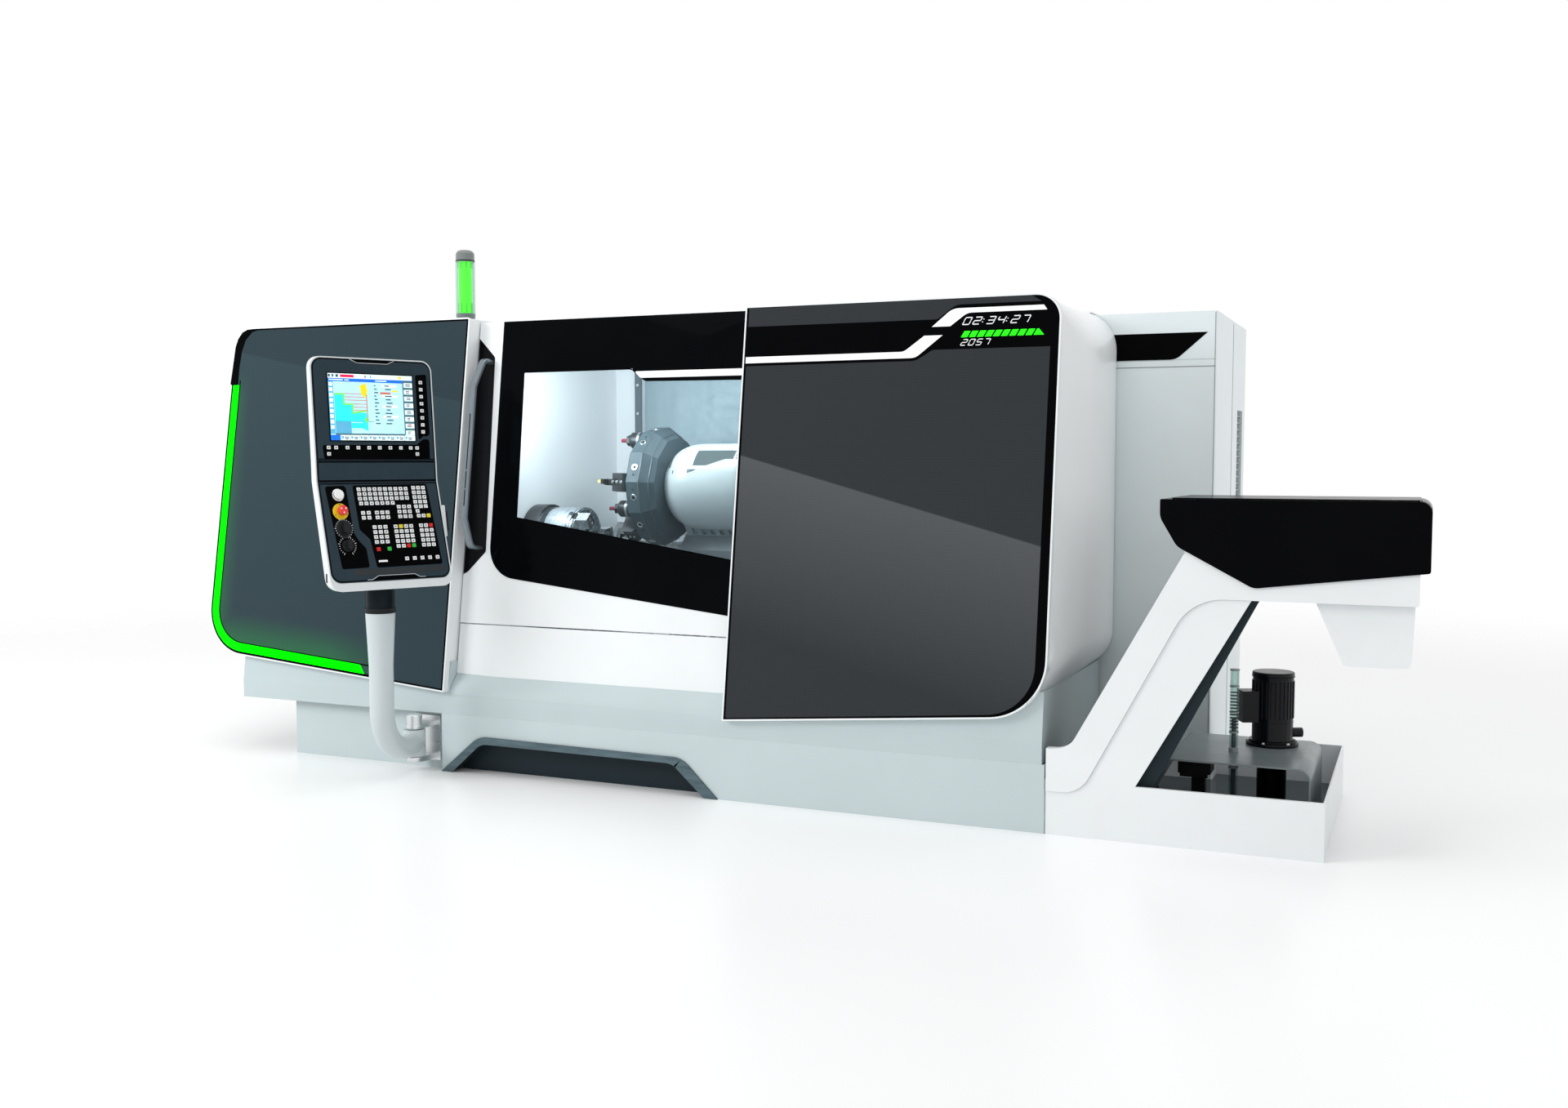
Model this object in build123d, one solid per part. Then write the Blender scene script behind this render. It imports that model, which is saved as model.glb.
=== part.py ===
from build123d import *
import os
from math import cos, radians, sin, tan

# CNC turning lathe: slant bed, single sliding door, swivelling control panel and chip conveyor.
# Machine datum, in millimetres: x = 0 at the joint between bed plinth and coolant tank, y = 0 at
# the front face of the plinth, z = 0 on the floor. +X runs along the spindle, +Y to the back.

# Overall limits of the object, which place the origin at the bottom centre
LEFT_END = -3675.0
RIGHT_END = 1160.0
FRONT_END = -561.0
BACK_END = 1845.0
ROW_ORIGIN = ((LEFT_END + RIGHT_END) / 2, (FRONT_END + BACK_END) / 2, 0.0)

# Enclosure
SHEET = 6.0
LEAN = radians(8)
LEAN_START_Z = 310.0
TOP_Z = 1820.0
MIDDLE_TOP_Z = 1805.0
REAR_Y = 1388.0
PLINTH_TOP = 232.0
APRON_TOP = 472.0
LEFT_CABINET_X = (-3675.0, -2418.0)
PANEL_FACE_Y = -30.0
PANEL_THICK = 30.0
DOOR_FACE_Y = 40.0
DOOR_THICK = 30.0
DOOR_X = (-2412.0, -1100.0)
DOOR_SEAM_Z = 592.0
CABINET_X = (-50.0, 410.0)
CABINET_FRONT_Y = 909.0
CABINET_SPLIT_Y = 1390.0
CABINET_BACK_Y = 1820.0
CABINET_TOP = 1800.0
CABINET_DOOR_X = (-530.0, 390.0)

# Spindle line and slanted bed
SPINDLE_Y = 650.0
SPINDLE_Z = 910.0
SLANT = radians(40)
BED_FACE = -420.0
BED_X = (-3230.0, -330.0)
WORK_X = (-2424.0, -300.0)
LINING_BACK_Y = 1345.0
RAIL_H = 32.0
RAIL_W = 45.0
SADDLE_RAILS_T = (-60.0, 420.0)
TAILSTOCK_RAILS_T = (-360.0, -200.0)
SLIDE_GAP = 0.3
SHAFT_GAP = 0.06
SCREW_T = 180.0
SCREW_H = -399.0
SCREW_R = 15.0

# Turret
TURRET_T = 340.0
DISC_X = (-1980.0, -1860.0)
DISC_BEVEL_X = -1916.0
DISC_R = 250.0
STATIONS = 12
SADDLE_X = (-1880.0, -1440.0)

# Control panel, turned to face the operator, on its swivel arm
ARM_R = 46.0
ARM_LOW_Z = 112.0
COLLAR_Z = 664.0
SPIGOT_R = 30.0
ARM_HINGE = (-2550.0, -45.0)
ARM_MAST = (-2500.0, -300.0)
PANEL_TURN = 66.0
PANEL_W = 496.0
PANEL_SHIFT = 6.0
PANEL_TOP_Z = 1630.0
FOLD_Z = 1240.0
BAND_Z = 1165.0
PANEL_BOTTOM_Z = 762.0
PANEL_RIM = 5.0
PANEL_CHIN = 31.0

# Chip conveyor and coolant tank
TANK_X = (0.0, 880.0)
TANK_Y = (8.0, 1014.0)
TANK_H = 185.0
TUBE_AT = (556.0, 413.0)
PUMP_AT = (664.0, 600.0)


def box(x, y, z):
    """Block between the low and high values of x, y and z."""
    size = (x[1] - x[0], y[1] - y[0], z[1] - z[0])
    return Pos(x[0], y[0], z[0]) * Box(*size, align=(Align.MIN,) * 3)


def outline(points, radii=()):
    """Closed flat shape through the points, with a rounding radius for each corner that has one."""
    face = make_face(Polyline(*points, close=True))
    for point, radius in zip(points, radii):
        if radius:
            corner = min(face.vertices(), key=lambda v: (v.X - point[0]) ** 2 + (v.Y - point[1]) ** 2)
            face = fillet(corner, radius)
    return face


def front_plate(points, radii, face_y, thick):
    """Upright plate cut in x and z, its front at face_y and its thickness running back."""
    return extrude(Plane.XZ.offset(-face_y) * outline(points, radii), -thick)


def lean_plane(face_y):
    """Plane of the front skin, which leans back above the crease at LEAN_START_Z."""
    return Plane((0, face_y, LEAN_START_Z), x_dir=(1, 0, 0), z_dir=(0, -cos(LEAN), sin(LEAN)))


def lean_plate(points, radii, face_y, thick, proud=0):
    """Plate in the leaning front, its outline given in x and true height z, standing proud of the face."""
    flat = [(x, (z - LEAN_START_Z) / cos(LEAN)) for x, z in points]
    return extrude(lean_plane(face_y).offset(proud) * outline(flat, radii), -thick)


def along_x(x0, x1, shape):
    """Section drawn in y and z, extruded from x0 to x1."""
    return extrude(Plane.YZ.offset(x0) * shape, x1 - x0)


def x_cylinder(x0, x1, radius, y=SPINDLE_Y, z=SPINDLE_Z):
    """Cylinder along x."""
    return along_x(x0, x1, Pos(y, z) * Circle(radius))


def slant(x0, x1, shape):
    """Section drawn along and square to the bed's slant, from the spindle line, between two x."""
    plane = Plane((x0, SPINDLE_Y, SPINDLE_Z), x_dir=(0, cos(SLANT), sin(SLANT)), z_dir=(1, 0, 0))
    return extrude(plane * shape, x1 - x0)


def slant_box(x, t, h):
    """Block given by x, by t along the slant and by h square to it."""
    return slant(x[0], x[1], Pos((t[0] + t[1]) / 2, (h[0] + h[1]) / 2) * Rectangle(t[1] - t[0], h[1] - h[0]))


def slant_point(t, h):
    """Machine y and z of a point given along and square to the slant."""
    return (
        SPINDLE_Y + t * cos(SLANT) - h * sin(SLANT),
        SPINDLE_Z + t * sin(SLANT) + h * cos(SLANT),
    )


def lean_y(face_y, z):
    """Depth of a leaning face at height z."""
    return face_y + (z - LEAN_START_Z) * tan(LEAN)


def behind_lean(face_y):
    """Large block behind a leaning face, for trimming what meets it."""
    return lean_plate([(-5000, -400), (3000, -400), (3000, 2600), (-5000, 2600)], (), face_y, 4000)


# Base

# The kick recess in the plinth front, a trapezoid with rounded upper corners
TOE_OPENING = [(-2424, -1), (-2266, 131), (-1392, 126), (-1240, -1)]
TOE_OUTER = [(-2449, 0), (-2268, 152), (-1362, 143), (-1213, 0)]
TOE_INNER = [(-2398, -1), (-2258, 122), (-1402, 118), (-1267, -1)]
TOE_DEPTH = 70.0


def base_plinths():
    """Folded plinth skirts under the bed, the left one set back."""
    main = box((-2450, 0), (0, 900), (0, PLINTH_TOP)) - box((-2444, -6), (6, 894), (-1, PLINTH_TOP + 1))
    main -= front_plate(TOE_OPENING, (0, 76, 76, 0), -1, 12)
    main -= box((-10, 5), (26, 306), (130, PLINTH_TOP + 1))
    left = box((-3244, -2450), (50, 1340), (0, PLINTH_TOP))
    left -= box((-3238, -2456), (56, 1341), (-1, PLINTH_TOP + 1))
    bed_space = box((BED_X[0] - 5, BED_X[1] + 5), (565, 1400), (-1, 300))
    return [main - bed_space, left - bed_space]


def toe_recess_pan():
    """Bent pan that lines the kick recess."""
    outer = [(-2423, 0.5), (-2266, 130), (-1392, 125), (-1241, 0.5)]
    inner = [(-2408, -1), (-2260, 124), (-1398, 119), (-1256, -1)]
    pan = front_plate(outer, (0, 75, 75, 0), 6, TOE_DEPTH)
    return pan - front_plate(inner, (0, 68, 68, 0), 5, TOE_DEPTH - 3)


def toe_recess_trim():
    """Raised bright frame around the kick recess, standing on the floor at both feet."""
    frame = front_plate(TOE_OUTER, (0, 98, 98, 0), -9, 9)
    return frame - front_plate(TOE_INNER, (0, 72, 72, 0), -10, 12)


def levelling_feet():
    """Levelling discs and screws under the bed casting."""
    feet = []
    for x in (-3120, -2460, -1800, -1130, -480):
        for y in (640, 1240):
            foot = Pos(x, y, 0) * Cylinder(55, 22, align=(Align.CENTER, Align.CENTER, Align.MIN))
            screw = Pos(x, y, 20) * Cylinder(16, 40, align=(Align.CENTER, Align.CENTER, Align.MIN))
            feet.append(foot + screw)
    return feet


def bed_casting():
    """Slanted cast bed on its foot, with the ribbed clearance windows of the casting's front."""
    low = slant_point(-450, BED_FACE)
    high = slant_point(560, BED_FACE)
    section = outline([low, high, (high[0], 60), (low[0], 60)], (0, 0, 0, 0))
    bed = along_x(*BED_X, section)
    for x in (-2940, -2280, -1620, -960):
        window = front_plate([(x, 110), (x + 420, 110), (x + 420, 250), (x, 250)], (40,) * 4, 500, 260)
        bed -= window
    y, z = slant_point(SCREW_T, SCREW_H)
    for x in (-2390, -400):
        bearing = slant_box((x, x + 40), (SCREW_T - 40, SCREW_T + 40), (BED_FACE - 1, -372))
        bed += bearing - x_cylinder(x - 5, x + 45, SCREW_R + SHAFT_GAP, y, z)
    return bed


def guide_rails():
    """Four hardened rails along the bed: two for the saddle and two for the tailstock."""
    return [
        slant_box((-2390, -345), (t - RAIL_W / 2, t + RAIL_W / 2), (BED_FACE, BED_FACE + RAIL_H))
        for t in SADDLE_RAILS_T + TAILSTOCK_RAILS_T
    ]


# Front covers

def apron_end(x0, x1, depth, top):
    """Open-bottomed box at one end of the apron, its front leaning back behind the grey cover."""
    outer = [(0.5, PLINTH_TOP), (0.5, 306), (0.5 + (top - 306) * tan(LEAN), top), (depth, top), (depth, PLINTH_TOP)]
    inner = [(6, 231), (6, 306), (6 + (top - 306) * tan(LEAN), top - SHEET), (depth - SHEET, top - SHEET),
             (depth - SHEET, 231)]
    return along_x(x0, x1, outline(outer)) - along_x(x0 + SHEET, x1 - SHEET, outline(inner))


def lower_front_cover():
    """Folded apron between plinth and door: rounded ledge under the door, higher at both ends."""
    ledge = outline(
        [(0.5, 232), (0.5, 330), (190, 330), (190, 470), (196, 470), (196, 324), (6.5, 324), (6.5, 232)],
        (0, 26, 0, 0, 0, 0, 20, 0),
    )
    left = apron_end(-3485, -2411, 190, 440) + box((-3485, -3479), (180, 1380), (232, 440))
    right = apron_end(-1184, -10, 190, APRON_TOP) + box((-16, -10), (180, 900), (PLINTH_TOP, APRON_TOP))
    return left + right + along_x(-2414, -1181, ledge)


def lower_front_panel():
    """Fixed panel below the door, carried on behind the right cover and bolted back to the apron."""
    points = [(-2410, 390), (-1190, 360), (-1190, 482), (-100, 482), (-100, 587), (-2410, 587)]
    panel = lean_plate(points, (), DOOR_FACE_Y, 25)
    shelf = box((-2405, -1195), (lean_y(DOOR_FACE_Y, 460) + 20, 190), (458, 464))
    return panel + (shelf & behind_lean(DOOR_FACE_Y + 20))


# Left grey front cover: straight top and right edge, large lower-left corner
LEFT_OUTLINE = [(-3678, 428), (-2418, 322), (-2418, 1820), (-3657, 1820)]
LEFT_RADII = (205, 6, 10, 100)
RIGHT_OUTLINE = [(-1183, 298), (4, 391), (-1, 1812), (-1183, 1812)]
RIGHT_RADII = (6, 205, 92, 6)


def inset(points, radii, amount):
    """Outline in true height moved in by an amount, as a flat shape in the leaning plane."""
    flat = [(x, (z - LEAN_START_Z) / cos(LEAN)) for x, z in points]
    return offset(outline(flat, radii), -amount) if amount else outline(flat, radii)


def left_light_band():
    """Flat shape of the light strip: down the left edge, round the corner and along the bottom."""
    band = inset(LEFT_OUTLINE, LEFT_RADII, 16) - inset(LEFT_OUTLINE, LEFT_RADII, 50)
    reach = outline([(-3700, 60), (-2774, 60), (-2774, 18), (-3100, 330), (-3560, 330),
                     (-3590, 700), (-3590, 1272), (-3700, 1272)])
    corner = outline([(-3700, 0), (-2774, 0), (-3060, 420), (-3500, 420), (-3500, 1272), (-3700, 1272)])
    return band & (reach + corner)


def left_front_panel():
    """Grey cover over the headstock side, with a groove for the light strip."""
    plate = extrude(lean_plane(PANEL_FACE_Y) * inset(LEFT_OUTLINE, LEFT_RADII, 6), -12)
    return plate - extrude(lean_plane(PANEL_FACE_Y) * left_light_band(), -5)


def led_strip():
    """Light strip let into the left cover, standing a little proud of it."""
    return extrude(lean_plane(PANEL_FACE_Y).offset(2) * left_light_band(), -7)


def panel_rim(points, radii):
    """Tray behind a grey cover, whose edge shows as a narrow rim round it."""
    tray = extrude(lean_plane(PANEL_FACE_Y) * inset(points, radii, 0), -PANEL_THICK)
    tray -= extrude(lean_plane(PANEL_FACE_Y) * inset(points, radii, 6), -12)
    return tray - extrude(lean_plane(PANEL_FACE_Y).offset(-18) * inset(points, radii, 30), -40)


def right_front_panel():
    """Grey cover over the tailstock side, which the open door slides behind."""
    return extrude(lean_plane(PANEL_FACE_Y) * inset(RIGHT_OUTLINE, RIGHT_RADII, 6), -12)


# Enclosure shells

def left_cabinet_shell():
    """Cabinet round the headstock: left side, top and the return wall beside the door."""
    x0, x1 = LEFT_CABINET_X
    section = outline([(x0 + 20, 440), (x1, 440), (x1, TOP_Z - 4), (x0 + 20, TOP_Z - 4)], (60, 0, 4, 90))
    inner = outline(
        [(x0 + 20 + SHEET, 434), (x1 - SHEET, 434), (x1 - SHEET, TOP_Z - 4 - SHEET),
         (x0 + 20 + SHEET, TOP_Z - 4 - SHEET)],
        (0, 0, 2, 84),
    )
    plane = Plane.XZ
    shell = extrude(plane * section, -REAR_Y) - extrude(plane * inner, -REAR_Y - 10)
    shell -= box((x1 - 20, x1 + 10), (-100, REAR_Y + 10), (400, TOP_Z - 16)) & behind_lean(DOOR_FACE_Y + DOOR_THICK)
    shell -= box((x0, x1 + 10), (REAR_Y - SHEET, REAR_Y + 10), (400, TOP_Z))
    return (shell & behind_lean(PANEL_FACE_Y + PANEL_THICK - 0.5)) + panel_rim(LEFT_OUTLINE, LEFT_RADII)


def work_wall(x0, x1, front):
    """Side wall of the work area, clear of the slanted bed."""
    low = slant_point(-450, BED_FACE)
    high = slant_point(560, BED_FACE)
    back = LINING_BACK_Y
    section = outline([(200, low[1]), low, high, (back, high[1]), (back, 1790), (62, 1790), (62, 480), (200, 480)])
    return along_x(x0, x1, section) & behind_lean(front)


def work_area_lining():
    """Sheet lining of the work area: headstock wall with its spindle hole, back, right end, aprons."""
    left = work_wall(WORK_X[0], WORK_X[0] + SHEET, DOOR_FACE_Y + DOOR_THICK)
    left -= x_cylinder(WORK_X[0] - 10, WORK_X[0] + 20, 78)
    right = work_wall(WORK_X[1], WORK_X[1] + SHEET, DOOR_FACE_Y + DOOR_THICK + 45)
    back = box((WORK_X[0] + SHEET, WORK_X[1]), (LINING_BACK_Y - SHEET, LINING_BACK_Y), (946, 1784))
    post = box((-2300, -2262), (LINING_BACK_Y - 34, LINING_BACK_Y - SHEET), (1010, 1784))
    low = slant_point(-450, BED_FACE + 10)
    apron = outline([(200, 268), (206, 268), (206, 480), (200, 480)])
    front = along_x(WORK_X[0] + SHEET, WORK_X[1], apron)
    chute = outline([(low[0], low[1] - 8), (low[0] - 8, low[1] - 2), (452, 262), (458, 256)])
    slide = along_x(WORK_X[0] + SHEET, WORK_X[1], chute)
    return [left, right, back + post, front, slide]


def roof_cover():
    """Flat roof over the door and work area, with a raised lip under the right end's top."""
    roof = box((-2418, -1183), (300, REAR_Y - SHEET), (1791, MIDDLE_TOP_Z - 4))
    return roof + box((-1195, -1165), (300, REAR_Y - SHEET), (1791, 1808))


# Sections of the right end: the rim's outline in the leaning plane, the widest one, and the rear one
RIGHT_END_SECTIONS = (
    (None, [(-1183, 298), (4, 391), (-1, 1812), (-1183, 1812)], (205, 92)),
    (Plane.XZ.offset(-430), [(-1183, 430), (70, 450), (70, 1813), (-1183, 1813)], (170, 210)),
    (Plane.XZ.offset(-905), [(-1183, 440), (40, 450), (40, 1814), (-1183, 1814)], (140, 150)),
)


def right_end_body(inset_by):
    """Swelling body of the right end, lofted from the grey cover's rim back to the end cabinet."""
    sections = []
    for plane, corners, radii in RIGHT_END_SECTIONS:
        low_left, low_right, high_right, high_left = corners
        points = [
            (low_left[0], low_left[1] + inset_by), (low_right[0] - inset_by, low_right[1] + inset_by),
            (high_right[0] - inset_by, high_right[1] - inset_by), (high_left[0], high_left[1] - inset_by),
        ]
        if plane is None:
            points = [(x, (z - LEAN_START_Z) / cos(LEAN)) for x, z in points]
            plane = lean_plane(PANEL_FACE_Y + PANEL_THICK - 0.5)
        sections.append(plane * outline(points, (0, radii[0] - inset_by, radii[1] - inset_by, 0)))
    return loft(sections)


def right_end_shell():
    """Moulded cover over the right end, open at the left where the door slides in, with its rim."""
    shell = right_end_body(0) - right_end_body(SHEET)
    shell -= box((-1300, 200), (-100, 1000), (200, APRON_TOP))
    shell -= box((-1200, -1165), (150, REAR_Y), (1700, 1808))
    roof = box((-1183, -60), (903, REAR_Y - SHEET), (1808, 1814))
    return shell + roof + panel_rim(RIGHT_OUTLINE, RIGHT_RADII)


def rear_cover():
    """Flat back of the enclosure, its upper corner rounded to fit the left cabinet."""
    points = [(-3470, 248), (-56, 248), (-56, 1801), (-3646, 1801), (-3646, 470)]
    return front_plate(points, (0, 0, 0, 84, 60), REAR_Y - SHEET, SHEET)


# Door

GLASS_OUTLINE = [(-2298, 1803), (-2290, 786), (-1120, 658), (-1120, 1803)]
GLASS_RADII = (0, 130, 0, 0)
DOOR_RAIL_Z = (1740.0, 640.0)
WINDOW_OUTLINE = [(-2189, 1598), (-1692, 1600), (-1628, 1553), (-1150, 1549), (-1150, 861), (-2178, 1013)]


def door_shell():
    """White door frame with the pocket for the glass, the window hole and the handle recess."""
    x0, x1 = DOOR_X
    shell = lean_plate([(x0, DOOR_SEAM_Z), (x1, DOOR_SEAM_Z), (x1, 1804), (x0, 1804)], (), DOOR_FACE_Y, DOOR_THICK)
    shell -= lean_plate(GLASS_OUTLINE, GLASS_RADII, DOOR_FACE_Y, 7.2, proud=1)
    hole = [(-2215, 1625), (-1130, 1625), (-1130, 840), (-2205, 990)]
    shell -= lean_plate(hole, (20,) * 4, DOOR_FACE_Y, 60, proud=1)
    recess = [(-2420, 1746), (-2331, 1660), (-2311, 877), (-2391, 795), (-2420, 780)]
    shell -= lean_plate(recess, (0, 20, 20, 20, 0), DOOR_FACE_Y, 23, proud=1)
    for block in door_runners():
        shell += block
    return shell


def door_glass():
    """Black border of the door glass, with the clear window cut out of it."""
    border = lean_plate(GLASS_OUTLINE, GLASS_RADII, DOOR_FACE_Y, 8.2, proud=2)
    return border - lean_plate(WINDOW_OUTLINE, (), DOOR_FACE_Y, 20, proud=5)


def door_window():
    """Clear laminated pane, seated behind the black border."""
    pane = [(-2212, 1622), (-1133, 1622), (-1133, 843), (-2202, 993)]
    return lean_plate(pane, (17,) * 4, DOOR_FACE_Y, 12, proud=-6.2)


def door_handle():
    """Long bow handle: a flat bar whose ends turn back into the recess."""
    x_end, x_mid = -2357, -2383
    face = DOOR_FACE_Y + 21
    rise = 62 * sin(LEAN)
    points = [
        (x_end, lean_y(face, 1639), 1639),
        (x_end, lean_y(face, 1639) - 62 * cos(LEAN), 1639 + rise),
        (x_mid, lean_y(face - 82, 1540), 1540),
        (x_mid, lean_y(face - 82, 1010), 1010),
        (x_end, lean_y(face, 889) - 62 * cos(LEAN), 889 + rise),
        (x_end, lean_y(face, 889), 889),
    ]
    path = FilletPolyline(*points, radius=[20, 70, 70, 20])
    section = Plane(path @ 0, z_dir=path % 0, x_dir=(1, 0, 0)) * RectangleRounded(32, 16, 6)
    return sweep(section, path)


def door_rails():
    """Upper and lower linear rails that the door runs on, each held by the two walls of the work area."""
    rails = []
    for z in DOOR_RAIL_Z:
        y = lean_y(DOOR_FACE_Y + DOOR_THICK + 1, z)
        rail = box((WORK_X[0] + SHEET, -70), (y + 12, y + 32), (z, z + 24))
        rails.append(rail + box((WORK_X[1] - 30, WORK_X[1]), (y + 30, y + 90), (z, z + 24)))
    return rails


def door_runners():
    """Runner blocks screwed to the door back, which grip the rails."""
    blocks = []
    for z in DOOR_RAIL_Z:
        y = lean_y(DOOR_FACE_Y + DOOR_THICK + 1, z)
        for x in (-2330, -1260):
            block = box((x - 50, x + 50), (y - 3, y + 22), (z - 14, z + 38))
            block &= behind_lean(DOOR_FACE_Y + DOOR_THICK - 0.5)
            block -= box((x - 60, x + 60), (y + 12 - SLIDE_GAP, y + 40), (z - SLIDE_GAP, z + 24 + SLIDE_GAP))
            blocks.append(block)
    return blocks


# Headstock and spindle

def headstock():
    """Headstock casting: rounded shoulders, cooling ribs, front bearing cover and the spindle bore."""
    body = outline([(-230, BED_FACE), (230, BED_FACE), (190, 60), (120, 200), (-120, 200), (-190, 60)],
                   (0, 0, 40, 60, 60, 40))
    casting = slant(-3225, -2440, body) + x_cylinder(-2440, WORK_X[0] - 1, 118)
    casting -= x_cylinder(-3250, -2420, 60 + SHAFT_GAP)
    for x in range(-3150, -2500, 80):
        casting -= slant_box((x, x + 30), (-400, 400), (150, 260))
    return casting


def spindle():
    """Hollow spindle: nose ring in the work area, drum of the chuck's clamping cylinder at the back."""
    shaft = x_cylinder(-3300, -2408, 60)
    nose = x_cylinder(-2408, -2336, 142)
    drum = x_cylinder(-3400, -3270, 105)
    drum -= x_cylinder(-3345, -3335, 120) - x_cylinder(-3350, -3330, 97)
    return shaft + nose + drum - x_cylinder(-3410, -2330, 38)


CHUCK_X = (-2336.0, -2165.0)
CHUCK_R = 130.0
JAW_ANGLES = (130.0, 250.0, 10.0)
JAW_W = 34.0


def about_spindle(angle, shape):
    """Turn a shape drawn on the +Y side of the spindle to an angle measured towards +Z."""
    axis = Axis((0, SPINDLE_Y, SPINDLE_Z), (1, 0, 0))
    return shape.rotate(axis, angle)


def chuck_body():
    """Three-jaw chuck: body with through bore, T-slots, mounting bores and a bevelled face."""
    x0, x1 = CHUCK_X
    body = x_cylinder(x0, x1, CHUCK_R)
    body = chamfer(body.edges().filter_by(GeomType.CIRCLE).sort_by(Axis.X)[-1], 6)
    body -= x_cylinder(x0 - 5, x1 + 5, 32)
    slot = box((x1 - 42, x1 + 5), (SPINDLE_Y + 20, SPINDLE_Y + 140),
               (SPINDLE_Z - JAW_W / 2 - SLIDE_GAP, SPINDLE_Z + JAW_W / 2 + SLIDE_GAP))
    foot = box((x1 - 42, x1 - 24), (SPINDLE_Y + 20, SPINDLE_Y + 140),
               (SPINDLE_Z - 26 - SLIDE_GAP, SPINDLE_Z + 26 + SLIDE_GAP))
    mounting_bore = x_cylinder(x1 - 16, x1 + 5, 9, SPINDLE_Y + 96)
    for angle in JAW_ANGLES:
        body -= about_spindle(angle, slot + foot)
        body -= about_spindle(angle + 60, mounting_bore)
    return body


def chuck_jaw(angle):
    """Stepped jaw whose T-shaped foot slides in the chuck's slot."""
    x1 = CHUCK_X[1]
    y0 = SPINDLE_Y + 44
    z = SPINDLE_Z
    foot = box((x1 - 42 + SLIDE_GAP, x1 - 24 - SLIDE_GAP), (y0, y0 + 70), (z - 26, z + 26))
    neck = box((x1 - 30, x1 + 1), (y0, y0 + 70), (z - JAW_W / 2, z + JAW_W / 2))
    lower = box((x1 + 1, x1 + 30), (y0, y0 + 80), (z - 23, z + 23))
    step = box((x1 + 30, x1 + 58), (y0 + 28, y0 + 80), (z - 23, z + 23))
    jaw = foot + neck + lower + step
    for y in (y0 + 40, y0 + 64):
        jaw -= Pos(x1 + 60, y, z) * Rot(0, 90, 0) * Cylinder(8, 24)
    return about_spindle(angle, jaw)


# Saddle, cross slide and turret

def saddle():
    """Saddle: plate on four runner blocks, nut of the ball screw, guide tongue and cross-feed motor."""
    x0, x1 = SADDLE_X
    plate = slant_box(SADDLE_X, (-120, 500), (-380, -300))
    plate = fillet(plate.edges().filter_by(Axis.X), 12)
    tongue = slant_box((x0 + 120, x1 - 120), (-60, 500), (-301, -270))
    blocks = []
    for t in SADDLE_RAILS_T:
        for x in (x0 + 10, x1 - 130):
            block = slant_box((x, x + 120), (t - 50, t + 50), (BED_FACE + 8, -380))
            half = RAIL_W / 2 + SLIDE_GAP
            groove = slant_box((x - 5, x + 125), (t - half, t + half), (BED_FACE, BED_FACE + RAIL_H + SLIDE_GAP))
            blocks.append(block - groove)
    nut = slant_box((x0 + 150, x1 - 150), (SCREW_T - 36, SCREW_T + 36), (BED_FACE + 4, -380))
    body = plate + tongue + nut
    for block in blocks:
        body += block
    y, z = slant_point(499, -341)
    motor_plane = Plane(((x0 + x1) / 2, y, z), x_dir=(1, 0, 0), z_dir=(0, cos(SLANT), sin(SLANT)))
    body += extrude(motor_plane * RectangleRounded(72, 70, 14), 62)
    y, z = slant_point(SCREW_T, SCREW_H)
    return body - x_cylinder(x0, x1, SCREW_R + SLIDE_GAP, y, z)


def ball_screw():
    """Long ball screw of the saddle drive, with the coupling hub on its right end."""
    y, z = slant_point(SCREW_T, SCREW_H)
    return x_cylinder(-2388, -352, SCREW_R, y, z) + x_cylinder(-356, -335, SCREW_R + 5, y, z)


def cross_slide():
    """Cross slide, grooved over the saddle's guide tongue, which carries the turret."""
    x0, x1 = SADDLE_X
    body = slant_box((x0 + 30, x1 - 10), (150, 520), (-300 + SLIDE_GAP, -200))
    body -= slant_box((x0 + 120 - SLIDE_GAP, x1 - 120 + SLIDE_GAP), (140, 530), (-305, -270 + SLIDE_GAP))
    return chamfer(body.edges().filter_by(Axis.X).group_by(Axis.Z)[-1], 10)


def turret_centre():
    """Machine y and z of the turret axis."""
    return slant_point(TURRET_T, 0)


def turret_housing():
    """Rounded turret housing on its ribbed foot, seated on the cross slide."""
    y, z = turret_centre()
    start, end = DISC_X[1] + 2, SADDLE_X[1]
    profile = make_face(
        Polyline((start, 0), (start, 128), (start + 21, 150))
        + Spline((start + 21, 150), (start + 84, 180), (start + 158, 186), tangents=((1, 0.9), (1, 0)))
        + Polyline((start + 158, 186), (end - 80, 186))
        + Spline((end - 80, 186), (end - 12, 160), (end, 110), tangents=((1, 0), (0, -1)))
        + Polyline((end, 110), (end, 0), (start, 0))
    )
    drum = Pos(0, y, z) * revolve(Plane.XY * profile, Axis.X)
    x0, x1 = SADDLE_X
    foot = slant_box((x0 + 40, x1 - 60), (245, 435), (-200, -100))
    housing = drum + foot + x_cylinder(end - 5, end + 8, 90, y, z)
    for x in range(int(x0) + 70, int(x1) - 90, 44):
        housing -= slant_box((x, x + 22), (225, 262), (-196, -120))
    return housing - x_cylinder(start - 5, start + 60, 60 + SHAFT_GAP, y, z)


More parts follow.
